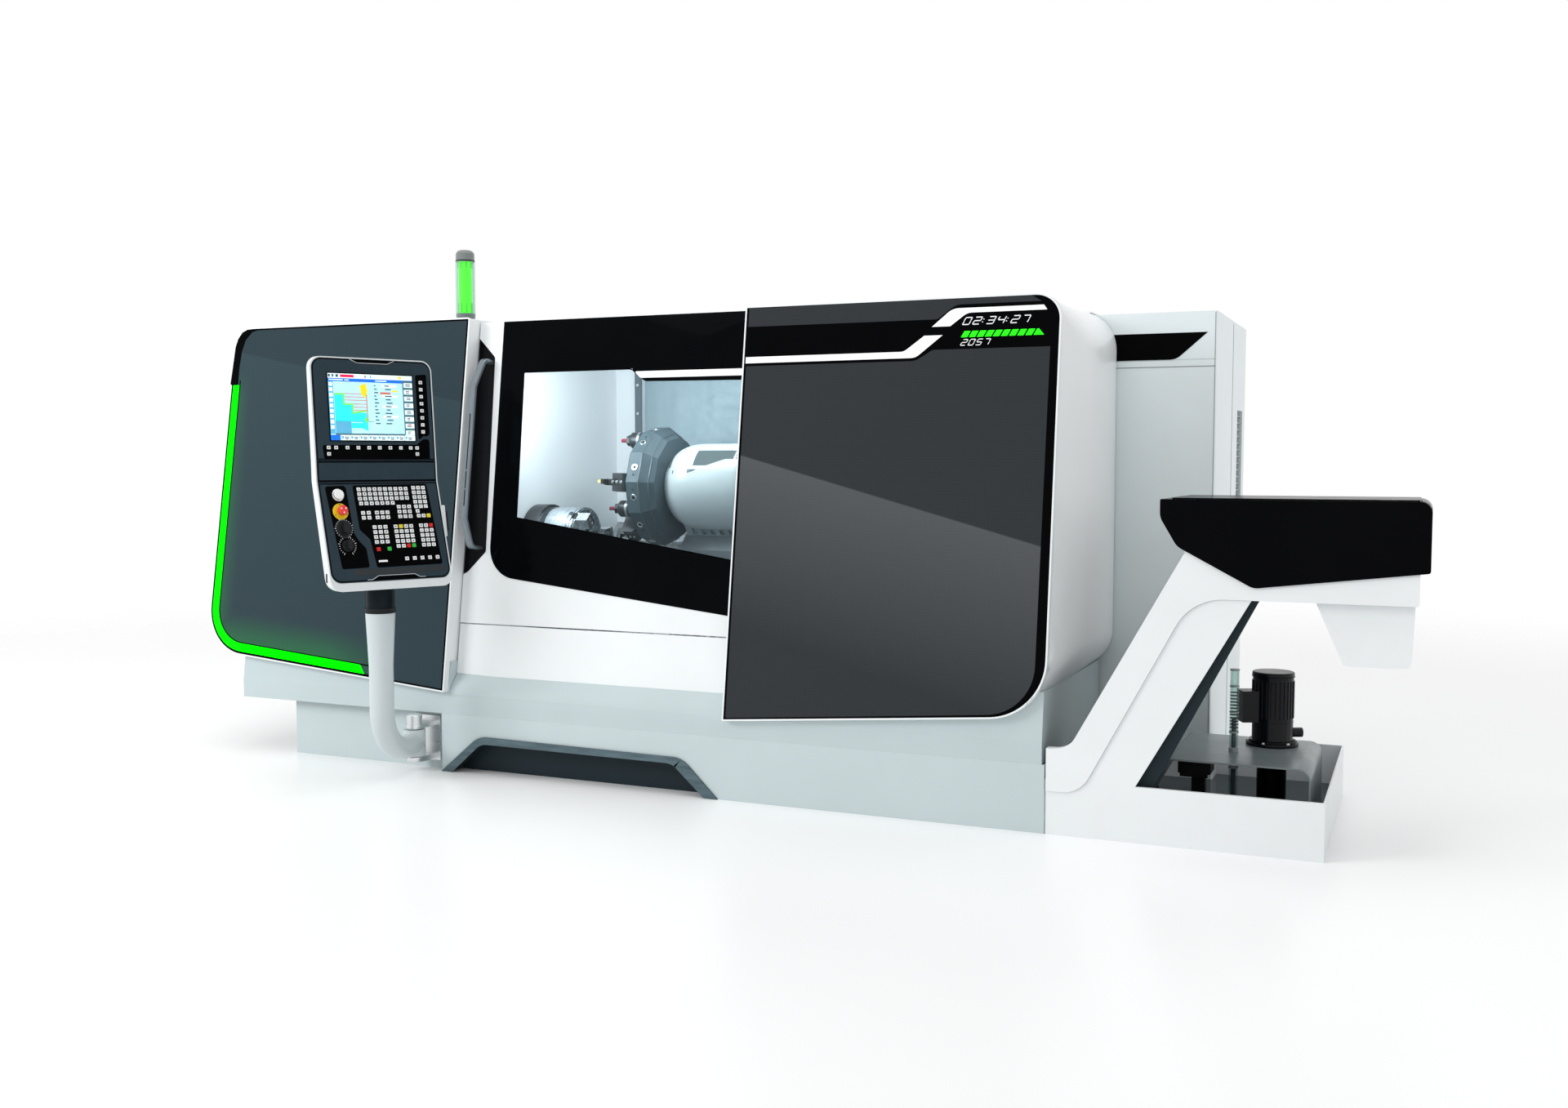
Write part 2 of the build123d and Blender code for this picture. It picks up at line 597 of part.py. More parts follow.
def turret_disc():
    """Twelve-sided tool disc with a bevelled back and a station behind each flat, on its short shaft."""
    y, z = turret_centre()
    place = Pos(y, z) * Rot(0, 0, 55)
    flats = place * RegularPolygon(DISC_R, STATIONS, major_radius=False)
    back = place * RegularPolygon(DISC_R - 42, STATIONS, major_radius=False)
    disc = along_x(DISC_X[0], DISC_BEVEL_X, flats)
    disc = chamfer(disc.faces().sort_by(Axis.X)[0].edges(), 7)
    disc += loft([Plane.YZ.offset(DISC_BEVEL_X) * flats, Plane.YZ.offset(DISC_X[1]) * back])
    disc += x_cylinder(DISC_X[0] - 12, DISC_X[0], 92, y, z)
    disc += x_cylinder(DISC_X[1], DISC_X[1] + 58, 60, y, z)
    for index in range(STATIONS):
        angle = radians(index * 360 / STATIONS + 55)
        centre = (y + 212 * cos(angle), z + 212 * sin(angle))
        disc -= x_cylinder(DISC_X[0] - 1, DISC_X[0] + 30, 20, *centre)
    return disc


HOLDER_STATIONS = (2, 4, 5, 6, 8, 10)


def station(index, shape):
    """Turn a shape drawn above the turret axis to one of its stations."""
    y, z = turret_centre()
    return shape.rotate(Axis((0, y, z), (1, 0, 0)), index * 360 / STATIONS + 55 - 90)


def tool_holders():
    """Tool blocks clamped to six stations, with turning tools and drills pointing at the chuck."""
    y, z = turret_centre()
    x0 = DISC_X[0]
    pieces = []
    for number, index in enumerate(HOLDER_STATIONS):
        shank = x_cylinder(x0, x0 + 28, 19.5, y, z + 212)
        if number % 2:
            block = box((x0 - 62, x0), (y - 38, y + 38), (z + 178, z + 262))
            block = chamfer(block.edges().filter_by(Axis.Y), 9)
            block -= box((x0 - 70, x0 - 30), (y - 14, y + 14), (z + 226, z + 270))
            tool = box((x0 - 98, x0 - 29), (y - 13, y + 13), (z + 228, z + 258))
            tip = box((x0 - 98, x0 - 78), (y - 10, y + 10), (z + 250, z + 300))
            holder = block + shank + tool + tip
        else:
            body = x_cylinder(x0 - 54, x0, 36, y, z + 220)
            body = chamfer(body.edges().filter_by(GeomType.CIRCLE).sort_by(Axis.X)[0], 8)
            nut = along_x(x0 - 72, x0 - 53, Pos(y, z + 220) * RegularPolygon(24, 6))
            drill = x_cylinder(x0 - 104, x0 - 71, 8, y, z + 220)
            holder = body + shank + nut + drill
        pieces.append(station(index, holder))
    return pieces


# Tailstock

TAIL_X = (-640.0, -345.0)


def tailstock_body():
    """Tailstock casting: runner blocks, leaning column and the barrel that holds the quill."""
    x0, x1 = TAIL_X
    points = [(-405, -380), (-160, -380), (-142, -285), (70, -60), (-60, 60), (-390, -300)]
    column = outline(points, (0, 0, 20, 20, 20, 20))
    body = slant(x0 + 20, x1, column) + x_cylinder(x0, x1, 98)
    for t in TAILSTOCK_RAILS_T:
        half = RAIL_W / 2 + SLIDE_GAP
        body += slant_box((x0 + 20, x1), (t - 45, t + 45), (BED_FACE + 8, -379))
        body -= slant_box((x0, x1 + 5), (t - half, t + half), (BED_FACE, BED_FACE + RAIL_H + SLIDE_GAP))
    return body - x_cylinder(x0 - 5, x1 + 5, 45 + SHAFT_GAP)


def tailstock_quill():
    """Quill with the live centre on its nose."""
    quill = x_cylinder(TAIL_X[0] - 40, TAIL_X[1] - 20, 45)
    collar = x_cylinder(TAIL_X[0] - 70, TAIL_X[0] - 40, 32)
    cone = Pos(TAIL_X[0] - 97, SPINDLE_Y, SPINDLE_Z) * Rot(0, -90, 0) * Cone(24, 1.5, 54)
    return quill + collar + cone


# Control panel and arm

def arm_bracket():
    """Hinge bracket on the left plinth: back plate, two ears and the headed pin."""
    x, y = ARM_HINGE
    plate = box((x - 60, x + 60), (42, 50), (30, 212))
    ears = []
    for z0, z1 in ((38, 58), (172, 190)):
        ear = box((x - 34, x + 34), (y, 43), (z0, z1))
        ear += Pos(x, y, (z0 + z1) / 2) * Cylinder(34, z1 - z0)
        ears.append(ear)
    pin = Pos(x, y, 114) * Cylinder(14, 150)
    head = Pos(x, y, 209) * Cylinder(31, 40)
    head = chamfer(head.edges().group_by(Axis.Z)[-1], 5)
    return plate + ears[0] + ears[1] + pin + head


def panel_arm():
    """Bent tube arm: hinge barrel at the foot, upward sweep, flared top under the collar."""
    hinge_x, hinge_y = ARM_HINGE
    mast_x, mast_y = ARM_MAST
    top = COLLAR_Z - SLIDE_GAP
    path = FilletPolyline(
        (mast_x, mast_y, top), (mast_x, mast_y, ARM_LOW_Z), (hinge_x, hinge_y, ARM_LOW_Z), radius=175
    )
    tube = sweep(Plane((mast_x, mast_y, top), z_dir=(0, 0, -1)) * Circle(ARM_R), path)
    flare = Pos(mast_x, mast_y, top - 100) * Cone(ARM_R, 56, 200)
    barrel = Pos(hinge_x, hinge_y, ARM_LOW_Z + 3) * Cylinder(44, 106)
    arm = tube + flare + barrel - Pos(hinge_x, hinge_y, ARM_LOW_Z) * Cylinder(14 + SHAFT_GAP, 200)
    return arm - Pos(mast_x, mast_y, COLLAR_Z - 30) * Cylinder(SPIGOT_R + SHAFT_GAP, 62)


def arm_collar():
    """Swivel collar on top of the arm: lower ring, neck and the spigot that turns in the arm."""
    x, y = ARM_MAST
    ring = Pos(x, y, COLLAR_Z + 10) * Cylinder(57, 20)
    neck = Pos(x, y, COLLAR_Z + 60) * Cylinder(54, 80)
    return ring + neck + Pos(x, y, COLLAR_Z - 25) * Cylinder(SPIGOT_R, 54)


PANEL_PLACE = Pos(ARM_MAST[0], ARM_MAST[1], 0) * Rot(0, 0, PANEL_TURN)
# Front line of the panel seen from its side: depth behind the mast at each height
FACE_LINE = [(46, PANEL_TOP_Z), (12, FOLD_Z), (7, BAND_Z), (-109, PANEL_BOTTOM_Z)]


def face_depth(z):
    """Depth of the panel's front at height z, in the panel's own frame."""
    for (y1, z1), (y0, z0) in zip(FACE_LINE, FACE_LINE[1:]):
        if z >= z0:
            return y0 + (y1 - y0) * (z - z0) / (z1 - z0)
    return FACE_LINE[-1][0]


# Depth of the housing behind the face at its top, at the two bends and at the bottom
PANEL_DEPTHS = (28, 36, 38, 46)


def panel_slab(front, backs, rim, chin, corner):
    """Slab that follows the bent face, its outline moved in by rim, and by chin at the bottom.

    It starts at the depth front behind the face and ends at the depths backs, one at each bend.
    """
    heights = (PANEL_TOP_Z, FOLD_Z, BAND_Z, PANEL_BOTTOM_Z)
    line = [(face_depth(z) + front, z) for z in heights]
    rear = [(face_depth(z) + back, z) for z, back in zip(heights, backs)]
    slab = extrude(Plane.YZ.offset(PANEL_SHIFT - PANEL_W / 2) * outline(line + rear[::-1]), PANEL_W)
    low, high = PANEL_BOTTOM_Z + chin, PANEL_TOP_Z - rim
    shape = Pos(PANEL_SHIFT, (low + high) / 2) * RectangleRounded(PANEL_W - 2 * rim, high - low, corner)
    return slab & extrude(Plane.XZ.offset(-300) * shape, 600)


def panel_housing():
    """Moulded panel housing: bent slab with rounded corners and the rear box over the mast."""
    slab = panel_slab(0, PANEL_DEPTHS, 0, 0, 44)
    slab -= panel_slab(-1, (5,) * 4, PANEL_RIM, PANEL_CHIN, 39)
    rear = [(-46, 764), (76, 764), (80, 1330), (62, 1400), (44, 1400), (34, 1240), (26, 1165), (-84, 766)]
    rear_box = extrude(Plane.YZ.offset(PANEL_SHIFT - 130) * outline(rear), 260)
    housing = slab + rear_box
    for x, z, radius in CONTROL_BORES:
        housing -= on_lower_face(x, z, -15) * Cylinder(radius + 1, 24)
    return PANEL_PLACE * housing


def panel_face():
    """Slate face plate let into the housing, with the control bores."""
    plate = panel_slab(-2, (5,) * 4, PANEL_RIM + 1, PANEL_CHIN + 1, 38)
    for x, z, radius in CONTROL_BORES:
        plate -= on_lower_face(x, z, -20) * Cylinder(radius + SLIDE_GAP, 60)
    return PANEL_PLACE * plate


def lower_angle():
    """Slope of the lower face against the vertical, in degrees."""
    from_y, from_z = FACE_LINE[2]
    to_y, to_z = FACE_LINE[3]
    return (from_y - to_y) / (from_z - to_z)


def on_lower_face(x, z, lift=0.0):
    """Place on the sloping lower face at x and z, its axis pointing out of the face."""
    slope = lower_angle()
    length = (1 + slope * slope) ** 0.5
    normal = Vector(0, -1 / length, slope / length)
    origin = Vector(PANEL_SHIFT + x, face_depth(z), z) + normal * lift
    return Plane(origin, x_dir=(1, 0, 0), z_dir=normal).location


def on_upper_face(x, z, lift=0.0):
    """Place on the upper face at x and z, its axis pointing out of the face."""
    slope = -(FACE_LINE[0][0] - FACE_LINE[1][0]) / (PANEL_TOP_Z - FOLD_Z)
    length = (1 + slope * slope) ** 0.5
    normal = Vector(0, -1 / length, -slope / length)
    origin = Vector(PANEL_SHIFT + x, face_depth(z), z) + normal * lift
    return Plane(origin, x_dir=(1, 0, 0), z_dir=normal).location


ESTOP_AT = (-172.0, 1053.0)
START_AT = (-174.0, 1113.0)
FEED_KNOB_AT = (-168.0, 990.0)
SPEED_KNOB_AT = (-163.0, 927.0)
CONTROL_BORES = ((*ESTOP_AT, 8.0), (*START_AT, 8.0), (*FEED_KNOB_AT, 6.0), (*SPEED_KNOB_AT, 6.0))


def panel_screen():
    """Flat display pane on the upper face."""
    return PANEL_PLACE * on_upper_face(-11.5, 1443, 3.2) * Box(344, 250, 2.4)


# Key groups on the lower face: x of the first key, height of the first row, columns, rows and pitches
KEY_GROUPS = (
    (-88, 1134, 10, 3, 21.4, 17.7), (-86, 1081, 7, 1, 21.4, 17.7),
    (137, 1137, 3, 5, 20.8, 17.8), (141, 1048, 1, 1, 20.8, 17.8), (143, 1030, 3, 1, 20.8, 17.8),
    (65, 1066, 3, 3, 21.5, 18.4), (-84, 1046, 2, 2, 22.8, 18.2), (-28, 1046, 3, 2, 21.5, 18.2),
    (-46, 992, 3, 4, 22.0, 18.4), (-43, 910, 2, 1, 44.0, 18.4),
    (40, 992, 4, 5, 21.4, 18.3), (146, 993, 3, 5, 21.0, 18.4), (67, 871, 5, 1, 32.1, 18.4),
)
UPPER_KEYS = (
    (196, 1544.5, 1, 8, 20.0, 27.3), (-194, 1291, 1, 2, 28.0, 23.5), (-165, 1291, 1, 1, 28.0, 23.5),
    (-120, 1291, 6, 1, 43.5, 23.5), (139, 1291, 1, 1, 28.0, 23.5), (166, 1291, 1, 2, 28.0, 23.5),
)


def key_caps():
    """Key caps of the sealed keypads, in their blocks."""
    keys = []
    for groups, place, size in ((KEY_GROUPS, on_lower_face, 15.0), (UPPER_KEYS, on_upper_face, 14.0)):
        for x, z, columns, rows, x_pitch, z_pitch in groups:
            for column in range(columns):
                for row in range(rows):
                    spot = place(x + column * x_pitch, z - row * z_pitch, 3.6)
                    keys.append(PANEL_PLACE * spot * Box(size, size * 0.9, 3.2))
    return keys


def estop_button():
    """Mushroom emergency-stop button on its stem."""
    stem = Pos(0, 0, 10) * Cylinder(8, 32)
    head = Pos(0, 0, 27) * Cylinder(19, 14)
    head = fillet(head.edges().group_by(Axis.Z)[-1], 6)
    return PANEL_PLACE * on_lower_face(*ESTOP_AT) * (stem + head)


def start_button():
    """Round white push button."""
    stem = Pos(0, 0, 4) * Cylinder(8, 20)
    head = Pos(0, 0, 17) * Cylinder(18, 8)
    head = fillet(head.edges().group_by(Axis.Z)[-1], 2.5)
    return PANEL_PLACE * on_lower_face(*START_AT) * (stem + head)


def rotary_knob(spot, skirt_r, cap_r):
    """Rotary switch knob: skirt, waisted grip and stem."""
    stem = Pos(0, 0, 0) * Cylinder(6, 20)
    skirt = Pos(0, 0, 6.5) * Cylinder(skirt_r, 7)
    skirt = chamfer(skirt.edges().group_by(Axis.Z)[-1], 2)
    cap = Pos(0, 0, 19) * Cylinder(cap_r, 20)
    for side in (-1, 1):
        cap -= Pos(side * cap_r * 0.95, 0, 22) * Box(cap_r * 0.9, cap_r * 2.4, 18)
    return PANEL_PLACE * on_lower_face(*spot) * (stem + skirt + cap)


# Signal lamp

LAMP_AT = (-2487.0, 250.0)


def signal_lamp():
    """Lamp foot, light column and cap."""
    x, y = LAMP_AT
    base_z = TOP_Z - 4
    foot = Pos(x, y, base_z) * Cylinder(38, 14, align=(Align.CENTER, Align.CENTER, Align.MIN))
    column = Pos(x, y, base_z + 14) * Cylinder(25, 226, align=(Align.CENTER, Align.CENTER, Align.MIN))
    cap = Pos(x, y, base_z + 240) * Cylinder(38, 44, align=(Align.CENTER, Align.CENTER, Align.MIN))
    cap = fillet(cap.edges().group_by(Axis.Z)[-1], 20)
    return foot + column + cap


def lamp_tube():
    """Clear tube round the light column."""
    x, y = LAMP_AT
    outer = Pos(x, y, TOP_Z + 10) * Cylinder(40, 226, align=(Align.CENTER, Align.CENTER, Align.MIN))
    return outer - Pos(x, y, TOP_Z + 9) * Cylinder(35, 228, align=(Align.CENTER, Align.CENTER, Align.MIN))


# Cabinets

def end_cabinet():
    """Tall housing at the right end, in front of the electrical cabinet."""
    body = box(CABINET_X, (CABINET_FRONT_Y, CABINET_SPLIT_Y), (0, CABINET_TOP))
    body = fillet(body.edges().filter_by(Axis.Z), 8)
    return body - box((CABINET_X[0] + 8, CABINET_X[1] - 8), (CABINET_FRONT_Y - 1, CABINET_FRONT_Y + 3), (1618, 1623))


def electrical_cabinet():
    """Electrical cabinet along the back, with its open front frame for the door and a vent niche."""
    x0, x1 = -1400.0, CABINET_X[1]
    body = box((x0, x1), (CABINET_SPLIT_Y, CABINET_BACK_Y), (0, CABINET_TOP))
    body = fillet(body.edges().filter_by(Axis.Z), 8)
    low, high = CABINET_DOOR_X
    body -= box((low + 30, high - 30), (CABINET_SPLIT_Y + 60, CABINET_BACK_Y + 1), (140, 1720))
    return body - box((x1 - 30, x1 + 1), (1560, 1730), (820, 1450))


def cabinet_door():
    """Rear door of the electrical cabinet: folded pan with a lever lock."""
    low, high = CABINET_DOOR_X
    door = box((low, high), (CABINET_BACK_Y + 1, CABINET_BACK_Y + 21), (110, 1750))
    door -= box((low + 4, high - 4), (CABINET_BACK_Y, CABINET_BACK_Y + 17), (114, 1746))
    lever_x = high - 60
    lever = box((lever_x - 14, lever_x + 14), (CABINET_BACK_Y + 20, CABINET_BACK_Y + 25), (860, 1040))
    return door + fillet(lever.edges().filter_by(Axis.Y), 10)


def cooling_unit():
    """Slatted air outlet in the cabinet's right side."""
    x = CABINET_X[1]
    grille = box((x - 30, x - 24), (1560, 1730), (820, 1450))
    for number in range(22):
        z = 836 + number * 28
        grille += box((x - 25, x - 6), (1560, 1730), (z, z + 6))
    return grille


# Chip conveyor, hood and tank

def chip_trough():
    """Open trough under the work area that the conveyor runs in."""
    outer = box((-2400, 80), (30, 300.5), (136, 226))
    return outer - box((-2394, 60), (36.5, 294.5), (142, 230))


# The bend line between side cover and tank sheet: along the foot, up the arm and under the head
CREASE = [(6, 147), (120, 147), (468, 807), (1131, 807)]
CREASE_RADII = (0, 100, 167, 6)


def conveyor_front_cover():
    """White side cover of the conveyor: foot, inclined arm and the head under the hood."""
    points = CREASE + [(1131, 903), (680, 958), (450, 964), (80, 292), (6, 290)]
    cover = front_plate(points, CREASE_RADII + (0, 0, 0, 80, 0), -6, 36)
    return cover - box((0, 1200), (0.3, 31), (100, 190))


def conveyor_casing():
    """Closed conveyor casing: trough under the work area, flanged inclined arm and head box."""
    points = [(90, 262), (476, 955), (660, 1050), (1110, 1060), (1110, 820), (700, 820), (600, 812), (190, 104),
              (60, 104), (60, 262)]
    flange = [(190, 104), (313, 104), (354, 185), (671, 806), (671, 818), (560, 800)]
    casing = front_plate(points, (30, 0, 0, 0, 0, 60, 60, 0, 0, 0), 30, 270.5)
    return casing + front_plate(flange, (), 30, 8) + chip_trough()


def conveyor_hood():
    """Black hood over the conveyor's upper end, with its set-in lid."""
    points = [(366, 1122), (366, 1064), (420, 972), (655, 846), (1160, 908), (1160, 1122)]
    radii = (4, 60, 55, 45, 8, 36)
    shell = front_plate(points, radii, -14, 450)
    cavity = front_plate([(372, 1108), (372, 900), (500, 700), (1154, 700), (1154, 1108)],
                         (20, 0, 0, 0, 20), -6, 436)
    lid = box((400, 1125), (12, 410), (1121, 1126))
    return shell - cavity + lid


def discharge_chute():
    """Open-bottomed chute under the conveyor head."""
    points = [(830, 820), (921, 612), (1112, 612), (1120, 820)]
    inner = [(835, 826), (925, 600), (1108, 600), (1116, 826)]
    chute = front_plate(points, (0, 0, 18, 0), 34, 250)
    return chute - front_plate(inner, (0, 0, 0, 0), 38, 242)


def coolant_tank():
    """Open coolant tank; its front sheet carries on up the conveyor arm as a gusset."""
    x0, x1 = TANK_X
    y0, y1 = TANK_Y
    notch_x, notch_y = CABINET_X[1] + 8, CABINET_FRONT_Y - 9
    plan = outline([(x0, y0), (x1, y0), (x1, y1), (notch_x, y1), (notch_x, notch_y), (x0, notch_y)])
    tank = extrude(plan, TANK_H) - extrude(Plane.XY.offset(10) * offset(plan, -6), TANK_H)
    tank -= box((x0 - 1, x0 + 7), (26, 306), (100, TANK_H + 1))
    low = [(x, z - 1) for x, z in CREASE[:3]]
    front = front_plate([(x1, TANK_H), (x1, 0), (x0 + 6, 0)] + low + [(649, 806), (299, TANK_H)],
                        (0, 0, 0) + CREASE_RADII[:3] + (0, 0), 0.5, y0)
    return tank + front


def tank_bridge():
    """Bent sheet bridge across the tank that carries the pump."""
    outer = outline([(228, 10), (364, 247), (823, 247), (823, 10)], (0, 26, 40, 0))
    inner = outline([(235, 9), (367.5, 241), (817, 241), (817, 9)], (0, 20, 34, 0))
    sheet = extrude(Plane.XZ.offset(-200) * outer, -520) - extrude(Plane.XZ.offset(-190) * inner, -540)
    sheet -= Pos(*TUBE_AT, 245) * Cylinder(16, 30)
    return sheet - Pos(*PUMP_AT, 245) * Cylinder(52, 30)


def coolant_pump():
    """Pump: motor with its flange, terminal box and outlet stub, and the leg that dips into the tank."""
    x, y = PUMP_AT
    flange = Pos(x, y, 253) * Cylinder(88, 12)
    motor = Pos(x, y, 376) * Cylinder(69, 236)
    cap = Pos(x, y, 499) * Cylinder(71, 14)
    cap = fillet(cap.edges().group_by(Axis.Z)[-1], 5)
    terminal = Rot(0, 0, 24) * Pos(-86, 0, 385) * Box(60, 70, 110)
    stub = Rot(0, 0, 24) * Pos(82, 0, 290) * Rot(0, 90, 0) * Cylinder(17, 44)
    extras = Pos(x, y, 0) * (terminal + stub)
    leg = Pos(x, y, 139) * Cylinder(50, 222)
    return flange + motor + cap + extras + leg


def level_tube():
    """Clear upright tube that stands on the tank floor and passes through the bridge."""
    x, y = TUBE_AT
    tube = Pos(x, y, 10) * Cylinder(15, 522, align=(Align.CENTER, Align.CENTER, Align.MIN))
    tube -= Pos(x, y, 11) * Cylinder(12, 530, align=(Align.CENTER, Align.CENTER, Align.MIN))
    return tube


def save(node, pieces):
    """Write one named piece, or a group of like pieces, in the row's own frame."""
    if not isinstance(pieces, list):
        pieces = [pieces]
    solids = [solid for piece in pieces for solid in piece.solids()]
    moved = [solid.moved(Location((-ROW_ORIGIN[0], -ROW_ORIGIN[1], 0))) for solid in solids]
    export_step(moved[0] if len(moved) == 1 else Compound(moved), f"parts/{node}.step")


def main():
    """Build every piece and write it."""
    os.makedirs("parts", exist_ok=True)
    pieces = {
        "base_plinths": base_plinths,
        "toe_recess_pan": toe_recess_pan,
        "toe_recess_trim": toe_recess_trim,
        "levelling_feet": levelling_feet,
        "bed_casting": bed_casting,
        "guide_rails": guide_rails,
        "lower_front_cover": lower_front_cover,
        "lower_front_panel": lower_front_panel,
        "left_front_panel": left_front_panel,
        "led_strip": led_strip,
        "right_front_panel": right_front_panel,
        "left_cabinet_shell": left_cabinet_shell,
        "work_area_lining": work_area_lining,
        "roof_cover": roof_cover,
        "right_end_shell": right_end_shell,
        "rear_cover": rear_cover,
        "door_shell": door_shell,
        "door_glass": door_glass,
        "door_window": door_window,
        "door_handle": door_handle,
        "door_rails": door_rails,
        "headstock": headstock,
        "spindle": spindle,
        "chuck_body": chuck_body,
        "chuck_jaw_1": lambda: chuck_jaw(JAW_ANGLES[0]),
        "chuck_jaw_2": lambda: chuck_jaw(JAW_ANGLES[1]),
        "chuck_jaw_3": lambda: chuck_jaw(JAW_ANGLES[2]),
        "saddle": saddle,
        "ball_screw": ball_screw,
        "cross_slide": cross_slide,
        "turret_housing": turret_housing,
        "turret_disc": turret_disc,
        "tool_holders": tool_holders,
        "tailstock_body": tailstock_body,
        "tailstock_quill": tailstock_quill,
        "arm_bracket": arm_bracket,
        "panel_arm": panel_arm,
        "arm_collar": arm_collar,
        "panel_housing": panel_housing,
        "panel_face": panel_face,
        "panel_screen": panel_screen,
        "key_caps": key_caps,
        "estop_button": estop_button,
        "start_button": start_button,
        "feed_knob": lambda: rotary_knob(FEED_KNOB_AT, 30, 20),
        "speed_knob": lambda: rotary_knob(SPEED_KNOB_AT, 22, 17),
        "signal_lamp": signal_lamp,
        "lamp_tube": lamp_tube,
        "end_cabinet": end_cabinet,
        "electrical_cabinet": electrical_cabinet,
        "cabinet_door": cabinet_door,
        "cooling_unit": cooling_unit,
        "conveyor_front_cover": conveyor_front_cover,
        "conveyor_casing": conveyor_casing,
        "conveyor_hood": conveyor_hood,
        "discharge_chute": discharge_chute,
        "coolant_tank": coolant_tank,
        "tank_bridge": tank_bridge,
        "coolant_pump": coolant_pump,
        "level_tube": level_tube,
    }
    for node, make in pieces.items():
        save(node, make())
        print("wrote", node)


main()
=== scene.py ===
"""Looks of a turning lathe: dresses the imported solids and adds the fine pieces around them.

Sizes are in millimetres in the machine's own datum (x = 0 where the bed plinth meets the coolant
tank, y = 0 at the plinth's front, z = 0 on the floor) and are turned into metres as pieces are made.
"""

import logging
import math
from dataclasses import dataclass, field
from enum import Enum

import bmesh
import bpy
from mathutils import Matrix, Vector
from mathutils.bvhtree import BVHTree


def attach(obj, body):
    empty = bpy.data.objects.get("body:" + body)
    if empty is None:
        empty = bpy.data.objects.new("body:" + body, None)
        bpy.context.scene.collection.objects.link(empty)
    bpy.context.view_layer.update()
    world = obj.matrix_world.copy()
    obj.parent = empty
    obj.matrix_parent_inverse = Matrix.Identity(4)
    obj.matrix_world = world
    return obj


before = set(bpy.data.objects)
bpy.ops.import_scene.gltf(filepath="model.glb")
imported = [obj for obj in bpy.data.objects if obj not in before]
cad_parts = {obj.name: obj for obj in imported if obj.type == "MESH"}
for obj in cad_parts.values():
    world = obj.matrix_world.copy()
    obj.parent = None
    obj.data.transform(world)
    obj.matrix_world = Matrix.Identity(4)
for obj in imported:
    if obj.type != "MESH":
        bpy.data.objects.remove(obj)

log = logging.getLogger("lathe")

Point = tuple[float, float]
Outline = list[Point]
Colour = tuple[float, float, float]

MM = 0.001
ORIGIN = Vector((1.2575, -0.642, 0.0))
LEAN = math.radians(8)
LEAN_START = 310.0
SLANT = math.radians(40)
REAR = 1388.0
SPINDLE = (650.0, 910.0)
PANEL_FACE = -30.0
DOOR_FACE = 40.0
MAST = (-2500.0, -300.0)
PANEL_TURN = math.radians(66)
PANEL_SHIFT = 6.0
PANEL_FOLDS = ((46.0, 1630.0), (12.0, 1240.0), (7.0, 1165.0), (-109.0, 762.0))
TURRET = (650 + 340 * math.cos(SLANT), 910 + 340 * math.sin(SLANT))
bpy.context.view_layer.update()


def spot(x: float, y: float, z: float) -> Vector:
    """Turn a datum point in millimetres into the frame's metres."""
    return ORIGIN + Vector((x, y, z)) * MM


def plane(origin: Vector, right: Vector, up: Vector) -> Matrix:
    """Make a working plane whose local unit is a millimetre.

    Args:
        origin: the plane's origin in the frame.
        right: direction of local x.
        up: direction of local y.

    Returns:
        The matrix that takes local x, y and outward z to the frame.
    """
    right, up = right.normalized(), up.normalized()
    out = right.cross(up)
    turn = Matrix((right, up, out)).transposed().to_4x4()
    return Matrix.Translation(origin) @ turn @ Matrix.Scale(MM, 4)


def leaning(face_y: float) -> Matrix:
    """Plane of the front skin that leans back, with local y measured up the skin."""
    return plane(spot(0, face_y, LEAN_START), Vector((1, 0, 0)), Vector((0, math.sin(LEAN), math.cos(LEAN))))


def skin(face_y: float) -> Matrix:
    """Plane of the leaning front skin, with local y as the true height.

    Args:
        face_y: datum y of the skin at the start of the lean.

    Returns:
        The plane's matrix.
    """
    slope = math.tan(LEAN)
    origin = spot(0, face_y - LEAN_START * slope, 0)
    out = Vector((0, -math.cos(LEAN), math.sin(LEAN)))
    return Matrix((
        (MM, 0, out.x * MM, origin.x), (0, slope * MM, out.y * MM, origin.y), (0, MM, out.z * MM, origin.z),
        (0, 0, 0, 1),
    ))


def panel_face(upper: Point, lower: Point) -> Matrix:
    """Sloping face of the control panel between two folds.

    Args:
        upper: depth and height of the fold above.
        lower: depth and height of the fold below.

    Returns:
        The plane, with local x along the panel from its centre line and local y as the true height.
    """
    slope = (upper[0] - lower[0]) / (upper[1] - lower[1])
    right = Vector((math.cos(PANEL_TURN), math.sin(PANEL_TURN), 0))
    back = Vector((-math.sin(PANEL_TURN), math.cos(PANEL_TURN), 0))
    up = back * slope + Vector((0, 0, 1))
    out = right.cross(up).normalized()
    origin = spot(*MAST, 0) + (right * PANEL_SHIFT + back * (lower[0] - slope * lower[1])) * MM
    rows = [(right[i] * MM, up[i] * MM, out[i] * MM, origin[i]) for i in range(3)]
    return Matrix((*rows, (0, 0, 0, 1)))


def panel_side(x: float) -> Matrix:
    """Upright plane square to the panel's width, with local x as the depth and local y as the height.

    Args:
        x: distance from the panel's centre line.

    Returns:
        The plane.
    """
    right = Vector((math.cos(PANEL_TURN), math.sin(PANEL_TURN), 0))
    back = Vector((-math.sin(PANEL_TURN), math.cos(PANEL_TURN), 0))
    return plane(spot(*MAST, 0) + right * (PANEL_SHIFT + x) * MM, back, Vector((0, 0, 1)))


def upright(y: float) -> Matrix:
    """Upright plane that faces the front, with local y as the height."""
    return plane(spot(0, y, 0), Vector((1, 0, 0)), Vector((0, 0, 1)))


